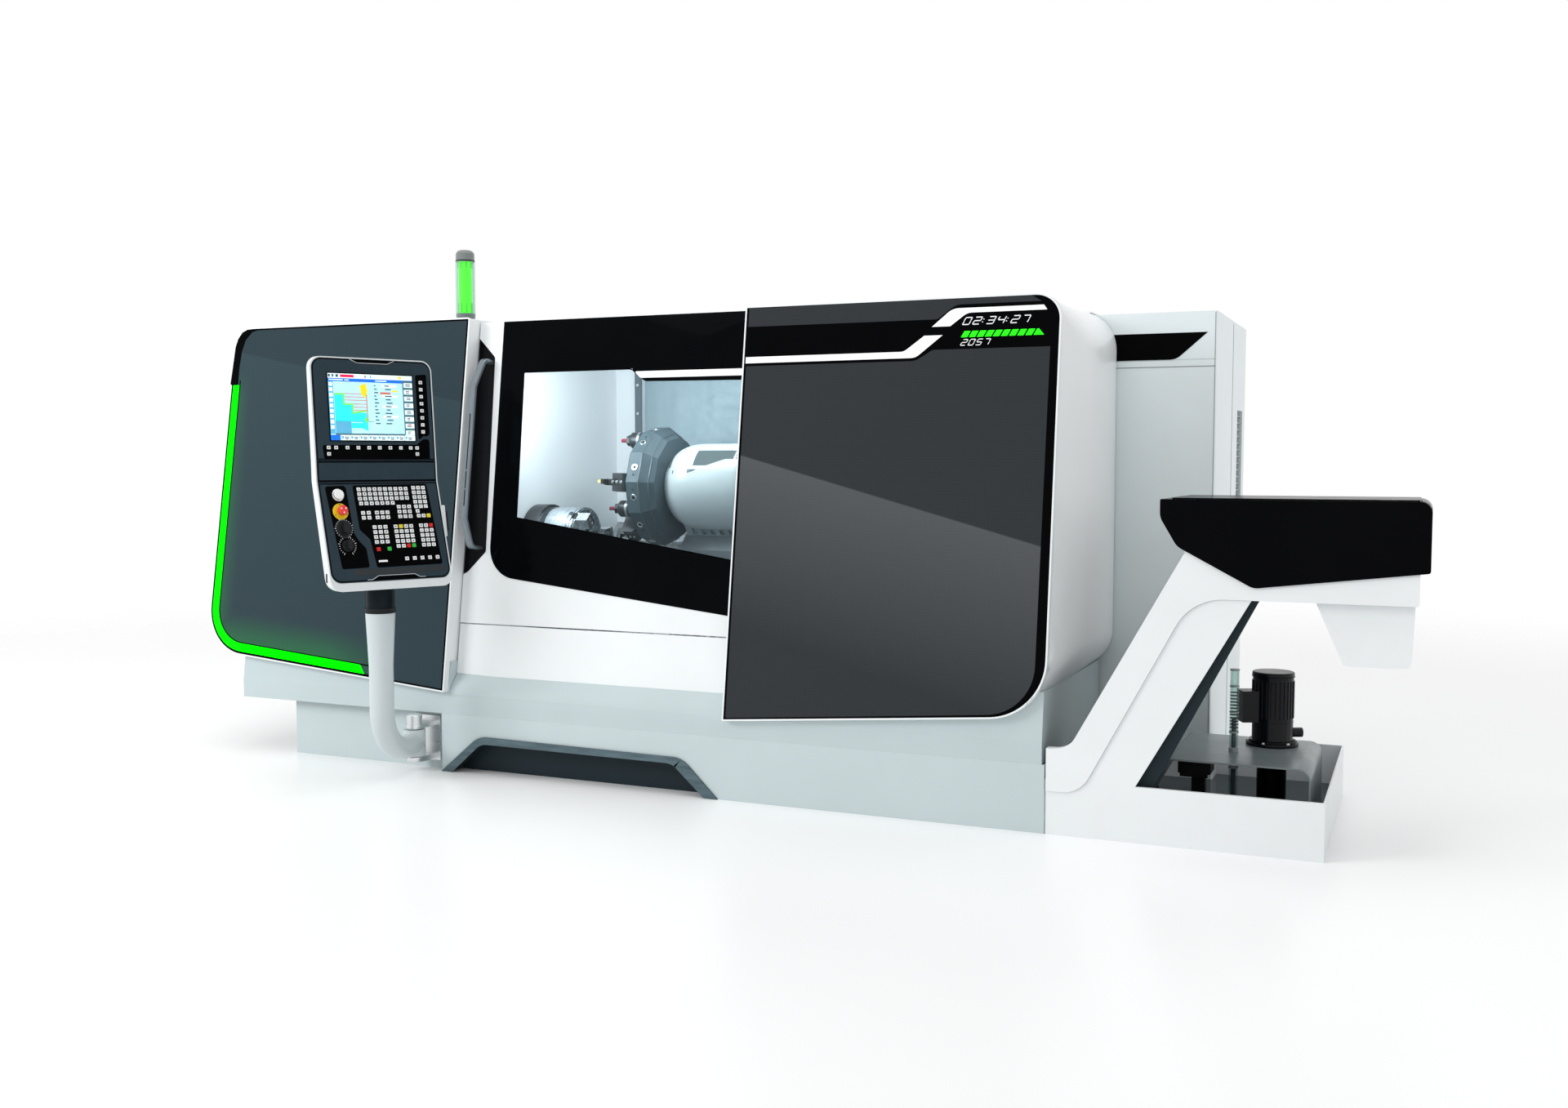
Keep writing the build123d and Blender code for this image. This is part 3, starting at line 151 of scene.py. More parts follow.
def side_on(x: float, facing: float = 1.0) -> Matrix:
    """Upright plane that faces along x, with local y as the height."""
    return plane(spot(x, 0, 0), Vector((0, facing, 0)), Vector((0, 0, 1)))


def from_above(z: float) -> Matrix:
    """Level plane that faces up."""
    return plane(spot(0, 0, z), Vector((1, 0, 0)), Vector((0, 1, 0)))


def from_behind(y: float) -> Matrix:
    """Upright plane that faces the back; local x runs against the datum's x."""
    return plane(spot(0, y, 0), Vector((-1, 0, 0)), Vector((0, 0, 1)))


def up_skin(z: float) -> float:
    """Height turned into the distance up the leaning skin."""
    return (z - LEAN_START) / math.cos(LEAN)


def on_skin(points: Outline) -> Outline:
    """Outline given in x and true height, turned into the leaning plane."""
    return [(x, up_skin(z)) for x, z in points]


def slant_spot(t: float, h: float) -> Point:
    """Datum y and z of a point along and square to the slant.

    Args:
        t: distance along the slant from the spindle line.
        h: distance square to the slant.

    Returns:
        Datum y and z.
    """
    return (
        SPINDLE[0] + t * math.cos(SLANT) - h * math.sin(SLANT),
        SPINDLE[1] + t * math.sin(SLANT) + h * math.cos(SLANT),
    )


def rounded(points: Outline, radii: tuple[float, ...], steps: int = 8) -> Outline:
    """Round the corners of a closed outline.

    Args:
        points: the corners in order.
        radii: one radius for each corner, 0 for a sharp one.
        steps: segments of each arc.

    Returns:
        The outline with each rounded corner turned into an arc.
    """
    out: Outline = []
    count = len(points)
    for i, (corner, radius) in enumerate(zip(points, radii)):
        here = Vector(corner)
        back = (Vector(points[i - 1]) - here).normalized()
        ahead = (Vector(points[(i + 1) % count]) - here).normalized()
        half = back.angle(ahead, math.pi) / 2
        if not radius or half > math.radians(89):
            out.append(tuple(here))
            continue
        centre = here + (back + ahead).normalized() * (radius / math.sin(half))
        start = here + back * (radius / math.tan(half)) - centre
        turn = start.angle_signed(here + ahead * (radius / math.tan(half)) - centre, 0.0)
        for k in range(steps + 1):
            arm = start.copy()
            arm.rotate(Matrix.Rotation(-turn * k / steps, 2))
            out.append(tuple(centre + arm))
    return out


def inset(outline: Outline, amount: float) -> Outline:
    """Move every side of a closed outline inwards, keeping the number of points.

    Args:
        outline: the outline.
        amount: how far each side moves.

    Returns:
        The smaller outline.
    """
    area = sum(a[0] * b[1] - b[0] * a[1] for a, b in zip(outline, outline[1:] + outline[:1]))
    sign = 1 if area > 0 else -1
    moved: Outline = []
    for i, here in enumerate(outline):
        back = (Vector(here) - Vector(outline[i - 1])).normalized()
        ahead = (Vector(outline[(i + 1) % len(outline)]) - Vector(here)).normalized()
        normal = Vector((-back.y - ahead.y, back.x + ahead.x)) * sign
        if normal.length < 1e-6:
            normal = Vector((-back.y, back.x)) * sign
        normal.normalize()
        reach = amount / max(0.35, normal.dot(Vector((-back.y, back.x)) * sign))
        moved.append(tuple(Vector(here) + normal * reach))
    return moved


def along_line(ring: Outline, index: int, share: float) -> Point:
    """Point at a share of the way along one side of a closed outline."""
    (x0, y0), (x1, y1) = ring[index], ring[(index + 1) % len(ring)]
    return x0 + (x1 - x0) * share, y0 + (y1 - y0) * share


def rectangle(x: float, y: float, width: float, height: float, radius: float = 0.0) -> Outline:
    """Rectangle about a centre, with rounded corners where a radius is given.

    Args:
        x: x of the centre.
        y: y of the centre.
        width: size along x.
        height: size along y.
        radius: corner radius, 0 for sharp corners.

    Returns:
        The outline.
    """
    w, h = width / 2, height / 2
    corners = [(x - w, y - h), (x + w, y - h), (x + w, y + h), (x - w, y + h)]
    return rounded(corners, (radius,) * 4, 5) if radius else corners


def ring(x: float, y: float, radius: float, steps: int = 40) -> Outline:
    """Circle as an outline.

    Args:
        x: x of the centre.
        y: y of the centre.
        radius: its radius.
        steps: its number of sides.

    Returns:
        The outline.
    """
    return [
        (x + radius * math.cos(2 * math.pi * k / steps), y + radius * math.sin(2 * math.pi * k / steps))
        for k in range(steps)
    ]


# Finishes


class Graph:
    """Short way to build a material's nodes."""

    def __init__(self, name: str) -> None:
        """Start a material with its shader and its object-space coordinates.

        Args:
            name: the material's name.
        """
        self.material = bpy.data.materials.new(name)
        self.material.use_nodes = True
        self.tree = self.material.node_tree
        self.shader = self.tree.nodes["Principled BSDF"]
        self.place = self.node("ShaderNodeTexCoord").outputs["Object"]

    def node(self, kind: str, **settings: object) -> bpy.types.Node:
        """Add a node and set its properties and input values.

        Args:
            kind: the node's type name.
            settings: properties by name, or input values or links as in_NAME or in_NUMBER.

        Returns:
            The node.
        """
        made = self.tree.nodes.new(kind)
        for key, value in settings.items():
            if not key.startswith("in_"):
                setattr(made, key, value)
                continue
            label = key[3:].replace("_", " ")
            socket = made.inputs[int(label)] if label.isdigit() else made.inputs[label]
            if isinstance(value, bpy.types.NodeSocket):
                self.tree.links.new(value, socket)
            else:
                socket.default_value = value
        return made

    def noise(self, scale: float, detail: float = 3.0, stretch: Colour = (1, 1, 1)) -> bpy.types.NodeSocket:
        """Noise over the piece, stretched along an axis where asked.

        Args:
            scale: lumps to the metre.
            detail: octaves of finer noise.
            stretch: scale along each axis.

        Returns:
            The noise's value.
        """
        mapped = self.node("ShaderNodeMapping", in_Vector=self.place, in_Scale=stretch)
        made = self.node(
            "ShaderNodeTexNoise", in_Vector=mapped.outputs[0], in_Scale=scale, in_Detail=detail,
            in_Roughness=0.6
        )
        return made.outputs["Fac"]

    def spread(self, value: bpy.types.NodeSocket, low: float, high: float) -> bpy.types.NodeSocket:
        """Map a noise of about 0.3 to 0.7 onto a range."""
        made = self.node("ShaderNodeMapRange", in_0=value, in_1=0.3, in_2=0.7, in_3=low, in_4=high)
        return made.outputs[0]

    def blend(self, amount: object, first: object, second: object) -> bpy.types.NodeSocket:
        """Mix two colours.

        Args:
            amount: share of the second colour, a number or a socket.
            first: the first colour.
            second: the second colour.

        Returns:
            The mixed colour.
        """
        made = self.node("ShaderNodeMix", data_type="RGBA")
        for index, value in ((0, amount), (6, first), (7, second)):
            if isinstance(value, bpy.types.NodeSocket):
                self.tree.links.new(value, made.inputs[index])
            else:
                made.inputs[index].default_value = value if index == 0 else (*value[:3], 1)
        return made.outputs[2]

    def link(self, value: bpy.types.NodeSocket, name: str) -> None:
        """Feed one of the shader's sockets."""
        self.tree.links.new(value, self.shader.inputs[name])

    def bump(self, height: bpy.types.NodeSocket, strength: float, depth: float) -> None:
        """Feed the shader's normal from a height."""
        made = self.node("ShaderNodeBump", in_Height=height, in_Strength=strength, in_Distance=depth)
        self.link(made.outputs[0], "Normal")

    def plain(self, **values: object) -> None:
        """Set the shader's own sockets."""
        for key, value in values.items():
            self.shader.inputs[key.replace("_", " ")].default_value = value


def shade(colour: Colour, factor: float) -> Colour:
    """Darken or lighten a colour."""
    return tuple(min(1.0, c * factor) for c in colour)


@dataclass(frozen=True)
class Finish:
    """A surface finish, made into a material once."""

    name: str
    colour: Colour
    roughness: float = 0.4

    def build(self) -> bpy.types.Material:
        """Make the material, or give back the one made before.

        Returns:
            The material.
        """
        made = bpy.data.materials.get(f"finish_{self.name}")
        if made:
            return made
        graph = Graph(f"finish_{self.name}")
        self.paint(graph)
        return graph.material

    def paint(self, graph: Graph) -> None:
        """Fill in the nodes; each kind of finish has its own."""
        raise NotImplementedError


@dataclass(frozen=True)
class Enamel(Finish):
    """Powder-coated sheet: faint orange peel, slight mottling and a clear gloss."""

    mottle: float = 0.03
    coat: float = 0.25
    specular: float = 0.3

    def paint(self, graph: Graph) -> None:
        """Colour drifts a little over a metre, with fine peel in the bump.

        Args:
            graph: the material's nodes.
        """
        cloud = graph.spread(graph.noise(1.6, 4), 0.0, 1.0)
        graph.link(graph.blend(cloud, shade(self.colour, 1 - self.mottle),
                               shade(self.colour, 1 + self.mottle)), "Base Color")
        graph.link(graph.spread(graph.noise(9.0, 5), self.roughness - 0.05, self.roughness + 0.07),
                   "Roughness")
        graph.bump(graph.noise(420.0, 2), 0.06, 0.0004)
        graph.plain(Coat_Weight=self.coat, Coat_Roughness=0.18, Specular_IOR_Level=self.specular)


@dataclass(frozen=True)
class Moulded(Finish):
    """Moulded plastic with a fine grain."""

    grain: float = 0.12
    specular: float = 0.15

    def paint(self, graph: Graph) -> None:
        """Grain in the bump, and a slight change of tone.

        Args:
            graph: the material's nodes.
        """
        cloud = graph.spread(graph.noise(14.0, 3), 0.0, 1.0)
        graph.link(graph.blend(cloud, shade(self.colour, 0.95), shade(self.colour, 1.06)), "Base Color")
        graph.link(graph.spread(graph.noise(60.0, 4), self.roughness - 0.04, self.roughness + 0.06),
                   "Roughness")
        graph.bump(graph.noise(900.0, 2), self.grain, 0.0003)
        graph.plain(Specular_IOR_Level=self.specular)


@dataclass(frozen=True)
class DarkGlass(Finish):
    """Back-painted glass or deep gloss plastic, nearly black."""

    specular: float = 0.25

    def paint(self, graph: Graph) -> None:
        """A trace of dust lifts the black and dulls the gloss in soft patches.

        Args:
            graph: the material's nodes.
        """
        dust = graph.spread(graph.noise(3.0, 6), 0.0, 1.0)
        graph.link(graph.blend(dust, self.colour, tuple(c + 0.0008 for c in self.colour)), "Base Color")
        graph.link(graph.spread(graph.noise(7.0, 5), self.roughness, self.roughness + 0.06), "Roughness")
        graph.plain(Specular_IOR_Level=self.specular)


@dataclass(frozen=True)
class Metal(Finish):
    """Machined or brushed metal; the brushing runs across the stretched axis."""

    stretch: Colour = (1.0, 1.0, 1.0)
    grain: float = 60.0
    streaks: float = 0.12
    metallic: float = 1.0

    def paint(self, graph: Graph) -> None:
        """Fine streaks in colour, roughness and bump.

        Args:
            graph: the material's nodes.
        """
        lines = graph.noise(self.grain, 6, self.stretch)
        tone = graph.spread(lines, 0.0, 1.0)
        low, high = shade(self.colour, 1 - self.streaks), shade(self.colour, 1 + self.streaks)
        graph.link(graph.blend(tone, low, high), "Base Color")
        graph.link(graph.spread(lines, self.roughness - 0.08, self.roughness + 0.1), "Roughness")
        graph.bump(lines, 0.12, 0.0003)
        graph.plain(Metallic=self.metallic)


@dataclass(frozen=True)
class Casting(Finish):
    """Painted iron casting: a lumpy sand-cast skin under thick enamel."""

    def paint(self, graph: Graph) -> None:
        """Two scales of lumps in the bump, and darker low spots.

        Args:
            graph: the material's nodes.
        """
        lumps = graph.noise(70.0, 6)
        cloud = graph.spread(graph.noise(4.0, 5), 0.0, 1.0)
        graph.link(graph.blend(cloud, shade(self.colour, 0.85), shade(self.colour, 1.1)), "Base Color")
        graph.link(graph.spread(lumps, self.roughness - 0.08, self.roughness + 0.1), "Roughness")
        graph.bump(lumps, 0.35, 0.0015)


@dataclass(frozen=True)
class Lining(Finish):
    """Dull steel sheet with vertical runs left by coolant."""

    runs: float = 0.1

    def paint(self, graph: Graph) -> None:
        """Vertical runs over a cloudy mill finish.

        Args:
            graph: the material's nodes.
        """
        runs = graph.noise(9.0, 5, (1.0, 1.0, 0.12))
        cloud = graph.spread(runs, 0.0, 1.0)
        graph.link(graph.blend(cloud, shade(self.colour, 1 - self.runs), shade(self.colour, 1 + self.runs)),
                   "Base Color")
        graph.link(graph.spread(graph.noise(30.0, 6), self.roughness - 0.1, self.roughness + 0.1),
                   "Roughness")
        graph.bump(graph.noise(160.0, 4), 0.1, 0.0004)
        graph.plain(Metallic=0.35)


@dataclass(frozen=True)
class Woven(Finish):
    """Grey cover sheet with a fine woven line pattern and a painted diagonal reflection.

    The painted reflection's edge runs through a point of the frame, and the sheet is painted lighter below
    it.
    """

    # colour of the painted reflection below the slanted edge
    painted_reflection: Colour = (0.2, 0.2, 0.21)
    edge_x: float = 0.0
    edge_z: float = 1.3
    fall: float = -0.24
    fade: float = 1.1
    across: float = 0.35
    glow: float = 0.0

    def paint(self, graph: Graph) -> None:
        """Weave from crossed line waves, painted reflection from a slanted gradient.

        Args:
            graph: the material's nodes.
        """
        parts = graph.node("ShaderNodeSeparateXYZ", in_0=graph.place)
        x, z = parts.outputs[0], parts.outputs[2]
        # painted reflection: the sheet turns lighter below a slanted edge and fades back with distance from
        # it
        slope = graph.node("ShaderNodeMath", operation="MULTIPLY_ADD", in_0=x, in_1=self.fall,
                           in_2=self.edge_z - self.fall * self.edge_x)
        below = graph.node("ShaderNodeMath", operation="SUBTRACT", in_0=slope.outputs[0], in_1=z)
        edge = graph.node("ShaderNodeMapRange", in_0=below.outputs[0], in_1=0.0, in_2=0.006, in_3=0.0,
                          in_4=1.0)
        fade = graph.node("ShaderNodeMapRange", in_0=below.outputs[0], in_1=0.0, in_2=self.fade, in_3=1.0,
                          in_4=self.across)
        amount = graph.node("ShaderNodeMath", operation="MULTIPLY", in_0=edge.outputs[0],
                            in_1=fade.outputs[0])
        base = graph.blend(amount.outputs[0], self.colour, self.painted_reflection)
        warp = graph.node("ShaderNodeTexWave", in_Vector=graph.place, in_Scale=46.0, bands_direction="X",
                          in_Distortion=0.6, in_Detail=2.0)
        weft = graph.node("ShaderNodeTexWave", in_Vector=graph.place, in_Scale=46.0, bands_direction="Z",
                          in_Distortion=0.6, in_Detail=2.0)
        cloth = graph.node("ShaderNodeMath", operation="MULTIPLY_ADD", in_0=warp.outputs["Fac"], in_1=0.6,
                           in_2=weft.outputs["Fac"])
        tone = graph.node("ShaderNodeMapRange", in_0=cloth.outputs[0], in_1=0.0, in_2=1.6, in_3=0.9,
                          in_4=1.12)
        tinted = graph.node("ShaderNodeVectorMath", operation="SCALE", in_0=base, in_Scale=tone.outputs[0])
        graph.link(tinted.outputs[0], "Base Color")
        graph.link(graph.spread(graph.noise(40.0, 4), self.roughness - 0.04, self.roughness + 0.05),
                   "Roughness")
        graph.bump(cloth.outputs[0], 0.08, 0.0003)
        graph.plain(Specular_IOR_Level=0.06)
        # painted glow of the light strip, given off as emission by the sheet itself
        if self.glow:
            self.light_glow(graph, x, z)

    def light_glow(self, graph: Graph, x: bpy.types.NodeSocket, z: bpy.types.NodeSocket) -> None:
        """Painted green glow of the light strip on the sheet beside it, along the left and the lower edge.

        Args:
            graph: the material's nodes.
            x: x across the sheet, in metres.
            z: height, in metres.
        """
        left = graph.node("ShaderNodeMapRange", interpolation_type="SMOOTHSTEP", in_0=x, in_1=-2.42,
                          in_2=-2.27,
                          in_3=1.0, in_4=0.0)
        height = graph.node("ShaderNodeMapRange", in_0=z, in_1=1.5, in_2=1.64, in_3=1.0, in_4=0.0)
        side = graph.node("ShaderNodeMath", operation="MULTIPLY", in_0=left.outputs[0],
                          in_1=height.outputs[0])
        foot = graph.node("ShaderNodeMath", operation="MULTIPLY_ADD", in_0=x, in_1=0.084, in_2=z)
        low = graph.node("ShaderNodeMapRange", interpolation_type="SMOOTHSTEP", in_0=foot.outputs[0],
                         in_1=0.255,
                         in_2=0.42, in_3=1.0, in_4=0.0)
        reach = graph.node("ShaderNodeMapRange", in_0=x, in_1=-1.75, in_2=-1.45, in_3=1.0, in_4=0.0)
        under = graph.node("ShaderNodeMath", operation="MULTIPLY", in_0=low.outputs[0], in_1=reach.outputs[0])
        both = graph.node("ShaderNodeMath", operation="MAXIMUM", in_0=side.outputs[0], in_1=under.outputs[0])
        tint = graph.blend(both.outputs[0], (0, 0, 0), (0.0, self.glow, 0.0))
        graph.link(tint, "Emission Color")
        graph.plain(Emission_Strength=1.0)


@dataclass(frozen=True)
class Clear(Finish):
    """Clear pane or tube: mostly see-through, with a gloss that grows at the edge."""

    tint: Colour = (0.93, 0.97, 0.98)
    gloss: float = 0.5
    veil: float = 0.015
    rim: float = 0.3

    def paint(self, graph: Graph) -> None:
        """See-through shader mixed with a gloss by the facing angle.

        Args:
            graph: the material's nodes.
        """
        graph.link(graph.blend(graph.spread(graph.noise(2.0, 4), 0.0, 1.0), self.colour,
                               shade(self.colour, 0.9)),
                   "Base Color")
        graph.link(graph.spread(graph.noise(5.0, 5), 0.02, 0.07), "Roughness")
        graph.plain(Specular_IOR_Level=self.gloss)
        facing = graph.node("ShaderNodeLayerWeight", in_Blend=0.25)
        amount = graph.node("ShaderNodeMapRange", in_0=facing.outputs["Facing"], in_1=0.0, in_2=1.0,
                            in_3=self.veil,
                            in_4=self.rim)
        through = graph.node("ShaderNodeBsdfTransparent", in_Color=(*self.tint, 1))
        mixed = graph.node("ShaderNodeMixShader", in_0=amount.outputs[0], in_1=through.outputs[0],
                           in_2=graph.shader.outputs[0])
        graph.tree.links.new(mixed.outputs[0], graph.tree.nodes["Material Output"].inputs[0])


@dataclass(frozen=True)
class Lit(Finish):
    """Something lit from behind, slightly uneven."""

    strength: float = 1.0

    def paint(self, graph: Graph) -> None:
        """Glow varied a little by noise.

        Args:
            graph: the material's nodes.
        """
        tone = graph.blend(graph.spread(graph.noise(25.0, 2), 0.0, 1.0), shade(self.colour, 0.9), self.colour)
        graph.link(tone, "Base Color")
        graph.link(tone, "Emission Color")
        graph.plain(Emission_Strength=self.strength, Roughness=0.35, Specular_IOR_Level=0.05)


WHITE = Enamel("white_enamel", (0.8, 0.83, 0.84), 0.33)
PLINTH = Enamel("plinth_enamel", (0.52, 0.6, 0.615), 0.4)
APRON = Enamel("apron_enamel", (0.49, 0.57, 0.585), 0.36)
CABINET = Enamel("cabinet_enamel", (0.76, 0.83, 0.845), 0.4)
ARM_PAINT = Enamel("arm_enamel", (0.53, 0.59, 0.605), 0.3, coat=0.5)
DARK_SHEET = Enamel("dark_sheet_enamel", (0.016, 0.027, 0.034), 0.45, coat=0.03, specular=0.12)
# Both slate covers carry a painted reflection below a slanted edge.
SLATE_LEFT = Woven("slate_cover_left", (0.027, 0.044, 0.054), 0.34, painted_reflection=(0.033, 0.055, 0.066),
                   edge_x=-2.339,
                   edge_z=1.712, fall=-0.198, fade=1.6, across=0.25, glow=0.1)
SLATE_RIGHT = Woven("slate_cover_right", (0.03, 0.034, 0.038), 0.34, painted_reflection=(0.082, 0.088, 0.094), edge_x=0.2,
                    edge_z=1.235, fall=-0.27, fade=0.62, across=0.03)
BLACK_GLASS = DarkGlass("black_glass", (0.0012, 0.0018, 0.0024), 0.06, specular=0.02)
BLACK_LINE = DarkGlass("black_line", (0.0008, 0.0009, 0.0012), 0.3, specular=0.02)
BLACK_PLASTIC = Moulded("black_plastic", (0.012, 0.013, 0.014), 0.42)
RECESS_BLACK = Moulded("recess_black", (0.008, 0.009, 0.01), 0.5)
HOOD_BLACK = DarkGlass("hood_black", (0.0008, 0.001, 0.0014), 0.2, specular=0.03)
SILVER = Metal("satin_silver", (0.72, 0.74, 0.75), 0.34, stretch=(0.1, 1, 1), grain=90.0, streaks=0.05)
TRIM_STEEL = Metal("trim_steel", (0.1, 0.145, 0.165), 0.3, stretch=(0.1, 1, 1), grain=60.0, streaks=0.3,
                   metallic=0.85)
HANDLE_GREY = Metal("handle_grey", (0.2, 0.24, 0.27), 0.33, stretch=(1, 1, 0.1), streaks=0.08, metallic=0.6)
BRIGHT_STEEL = Metal("bright_steel", (0.62, 0.63, 0.64), 0.25, stretch=(1, 1, 1), grain=40.0)
TURNED_STEEL = Metal("turned_steel", (0.7, 0.76, 0.8), 0.27, stretch=(3, 0.4, 0.4), grain=55.0, streaks=0.16)
DARK_STEEL = Metal("blackened_steel", (0.06, 0.065, 0.07), 0.38, grain=45.0, metallic=0.75)
TURRET_DARK = Metal("turret_blackened", (0.075, 0.112, 0.132), 0.5, grain=30.0, metallic=0.1, streaks=0.1)
BED_PAINT = Casting("bed_casting", (0.28, 0.3, 0.31), 0.5)
GREY_CAST = Casting("grey_casting", (0.42, 0.44, 0.46), 0.42)
TURRET_WHITE = Enamel("turret_cover_enamel", (0.6, 0.655, 0.67), 0.3, coat=0.4)
LINING_WHITE = Enamel("lining_white_enamel", (0.82, 0.84, 0.86), 0.45)
LINING_STEEL = Lining("lining_steel", (0.3, 0.38, 0.42), 0.5)
POST_GREY = Enamel("post_grey", (0.11, 0.14, 0.165), 0.45)
COVER_DARK = Enamel("cover_band_grey", (0.09, 0.115, 0.12), 0.35)
DISC_EDGE = Metal("disc_edge_steel", (0.16, 0.18, 0.19), 0.4, metallic=0.4)
DRILL_RED = Moulded("drill_red", (0.62, 0.03, 0.07), 0.3, grain=0.03)
TIP_YELLOW = Moulded("tip_yellow", (0.75, 0.7, 0.3), 0.3, grain=0.03)
VENT_GREY = Enamel("vent_grey", (0.2, 0.235, 0.245), 0.4)
SEAM_GREY = Enamel("seam_grey", (0.27, 0.3, 0.31), 0.5)
FOOT_IRON = Casting("foot_iron", (0.05, 0.05, 0.055), 0.6)
PANEL_SILVER = Enamel("panel_silver", (0.66, 0.69, 0.7), 0.26, coat=0.4)
PANEL_SLATE = Moulded("panel_slate", (0.026, 0.043, 0.056), 0.46, specular=0.08)
PANEL_LINE = Enamel("panel_line", (0.5, 0.53, 0.54), 0.3)
PANEL_GROOVE = Moulded("panel_groove", (0.03, 0.035, 0.038), 0.4)
STOP_WHITE = Moulded("stop_arrow", (0.85, 0.8, 0.8), 0.3)
COLLAR_DARK = Enamel("collar_dark", (0.004, 0.0085, 0.012), 0.3, coat=0.02, specular=0.1)
KEY_WHITE = Moulded("key_white", (0.78, 0.8, 0.8), 0.36, grain=0.05)
KEY_RED = Moulded("key_red", (0.62, 0.02, 0.02), 0.36, grain=0.05)
KEY_GREEN = Moulded("key_green", (0.03, 0.5, 0.06), 0.36, grain=0.05)
KEY_YELLOW = Moulded("key_yellow", (0.75, 0.6, 0.03), 0.36, grain=0.05)
LEGEND = Moulded("key_legend", (0.03, 0.03, 0.035), 0.5, grain=0.05)
STOP_RED = Moulded("stop_red", (0.78, 0.06, 0.05), 0.22, grain=0.02)
STOP_YELLOW = Moulded("stop_yellow", (0.85, 0.6, 0.02), 0.3, grain=0.02)
BUTTON_WHITE = Moulded("button_white", (0.88, 0.89, 0.88), 0.2, grain=0.02)
WINDOW = Clear("window_pane", (0.25, 0.3, 0.32), 0.04, tint=(0.9, 0.96, 0.98))
CLEAR_TUBE = Clear("clear_tube", (0.5, 0.58, 0.58), 0.05, tint=(0.86, 0.93, 0.91), veil=0.05, rim=0.45)
LED_GREEN = Lit("led_green", (0.0, 0.88, 0.0), 0.3, strength=1.0)
LAMP_GREEN = Lit("lamp_green", (0.08, 0.9, 0.02), 0.3, strength=1.0)
LAMP_DOT = Moulded("lamp_dot", (0.02, 0.3, 0.02), 0.4)
LAMP_GREY = Enamel("lamp_grey", (0.16, 0.18, 0.18), 0.25, coat=0.6)
DISPLAY_GREEN = Lit("display_green", (0.02, 0.95, 0.01), 0.3, strength=0.95)
PRINT_WHITE = Moulded("print_white", (0.9, 0.91, 0.92), 0.35, grain=0.02)
TUBE_GREY = Enamel("tube_grey", (0.3, 0.34, 0.34), 0.3)
COOLANT = DarkGlass("coolant_film", (0.02, 0.035, 0.042), 0.08, specular=0.4)
PUMP_BLACK = Enamel("pump_black", (0.0022, 0.003, 0.0045), 0.3, coat=0.12, specular=0.15)


class Screen(Enum):
    """Colours of the lit display."""

    PAGE = (0.5, 0.82, 0.92)
    BAR = (0.82, 0.95, 0.97)
    TITLE = (0.02, 0.18, 0.75)
    PART = (0.04, 0.85, 1.0)
    SHADOW = (0.12, 0.45, 0.68)
    CONTOUR = (0.2, 0.85, 0.1)
    CUT = (0.65, 0.18, 0.12)
    TOOL = (0.95, 0.72, 0.02)
    INK = (0.05, 0.1, 0.14)
    MARK = (0.8, 0.02, 0.1)
    GREY = (0.08, 0.17, 0.2)

    def finish(self) -> Finish:
        """Lit finish of this colour."""
        return Lit(f"screen_{self.name.lower()}", self.value, strength=0.42)


# Mesh making


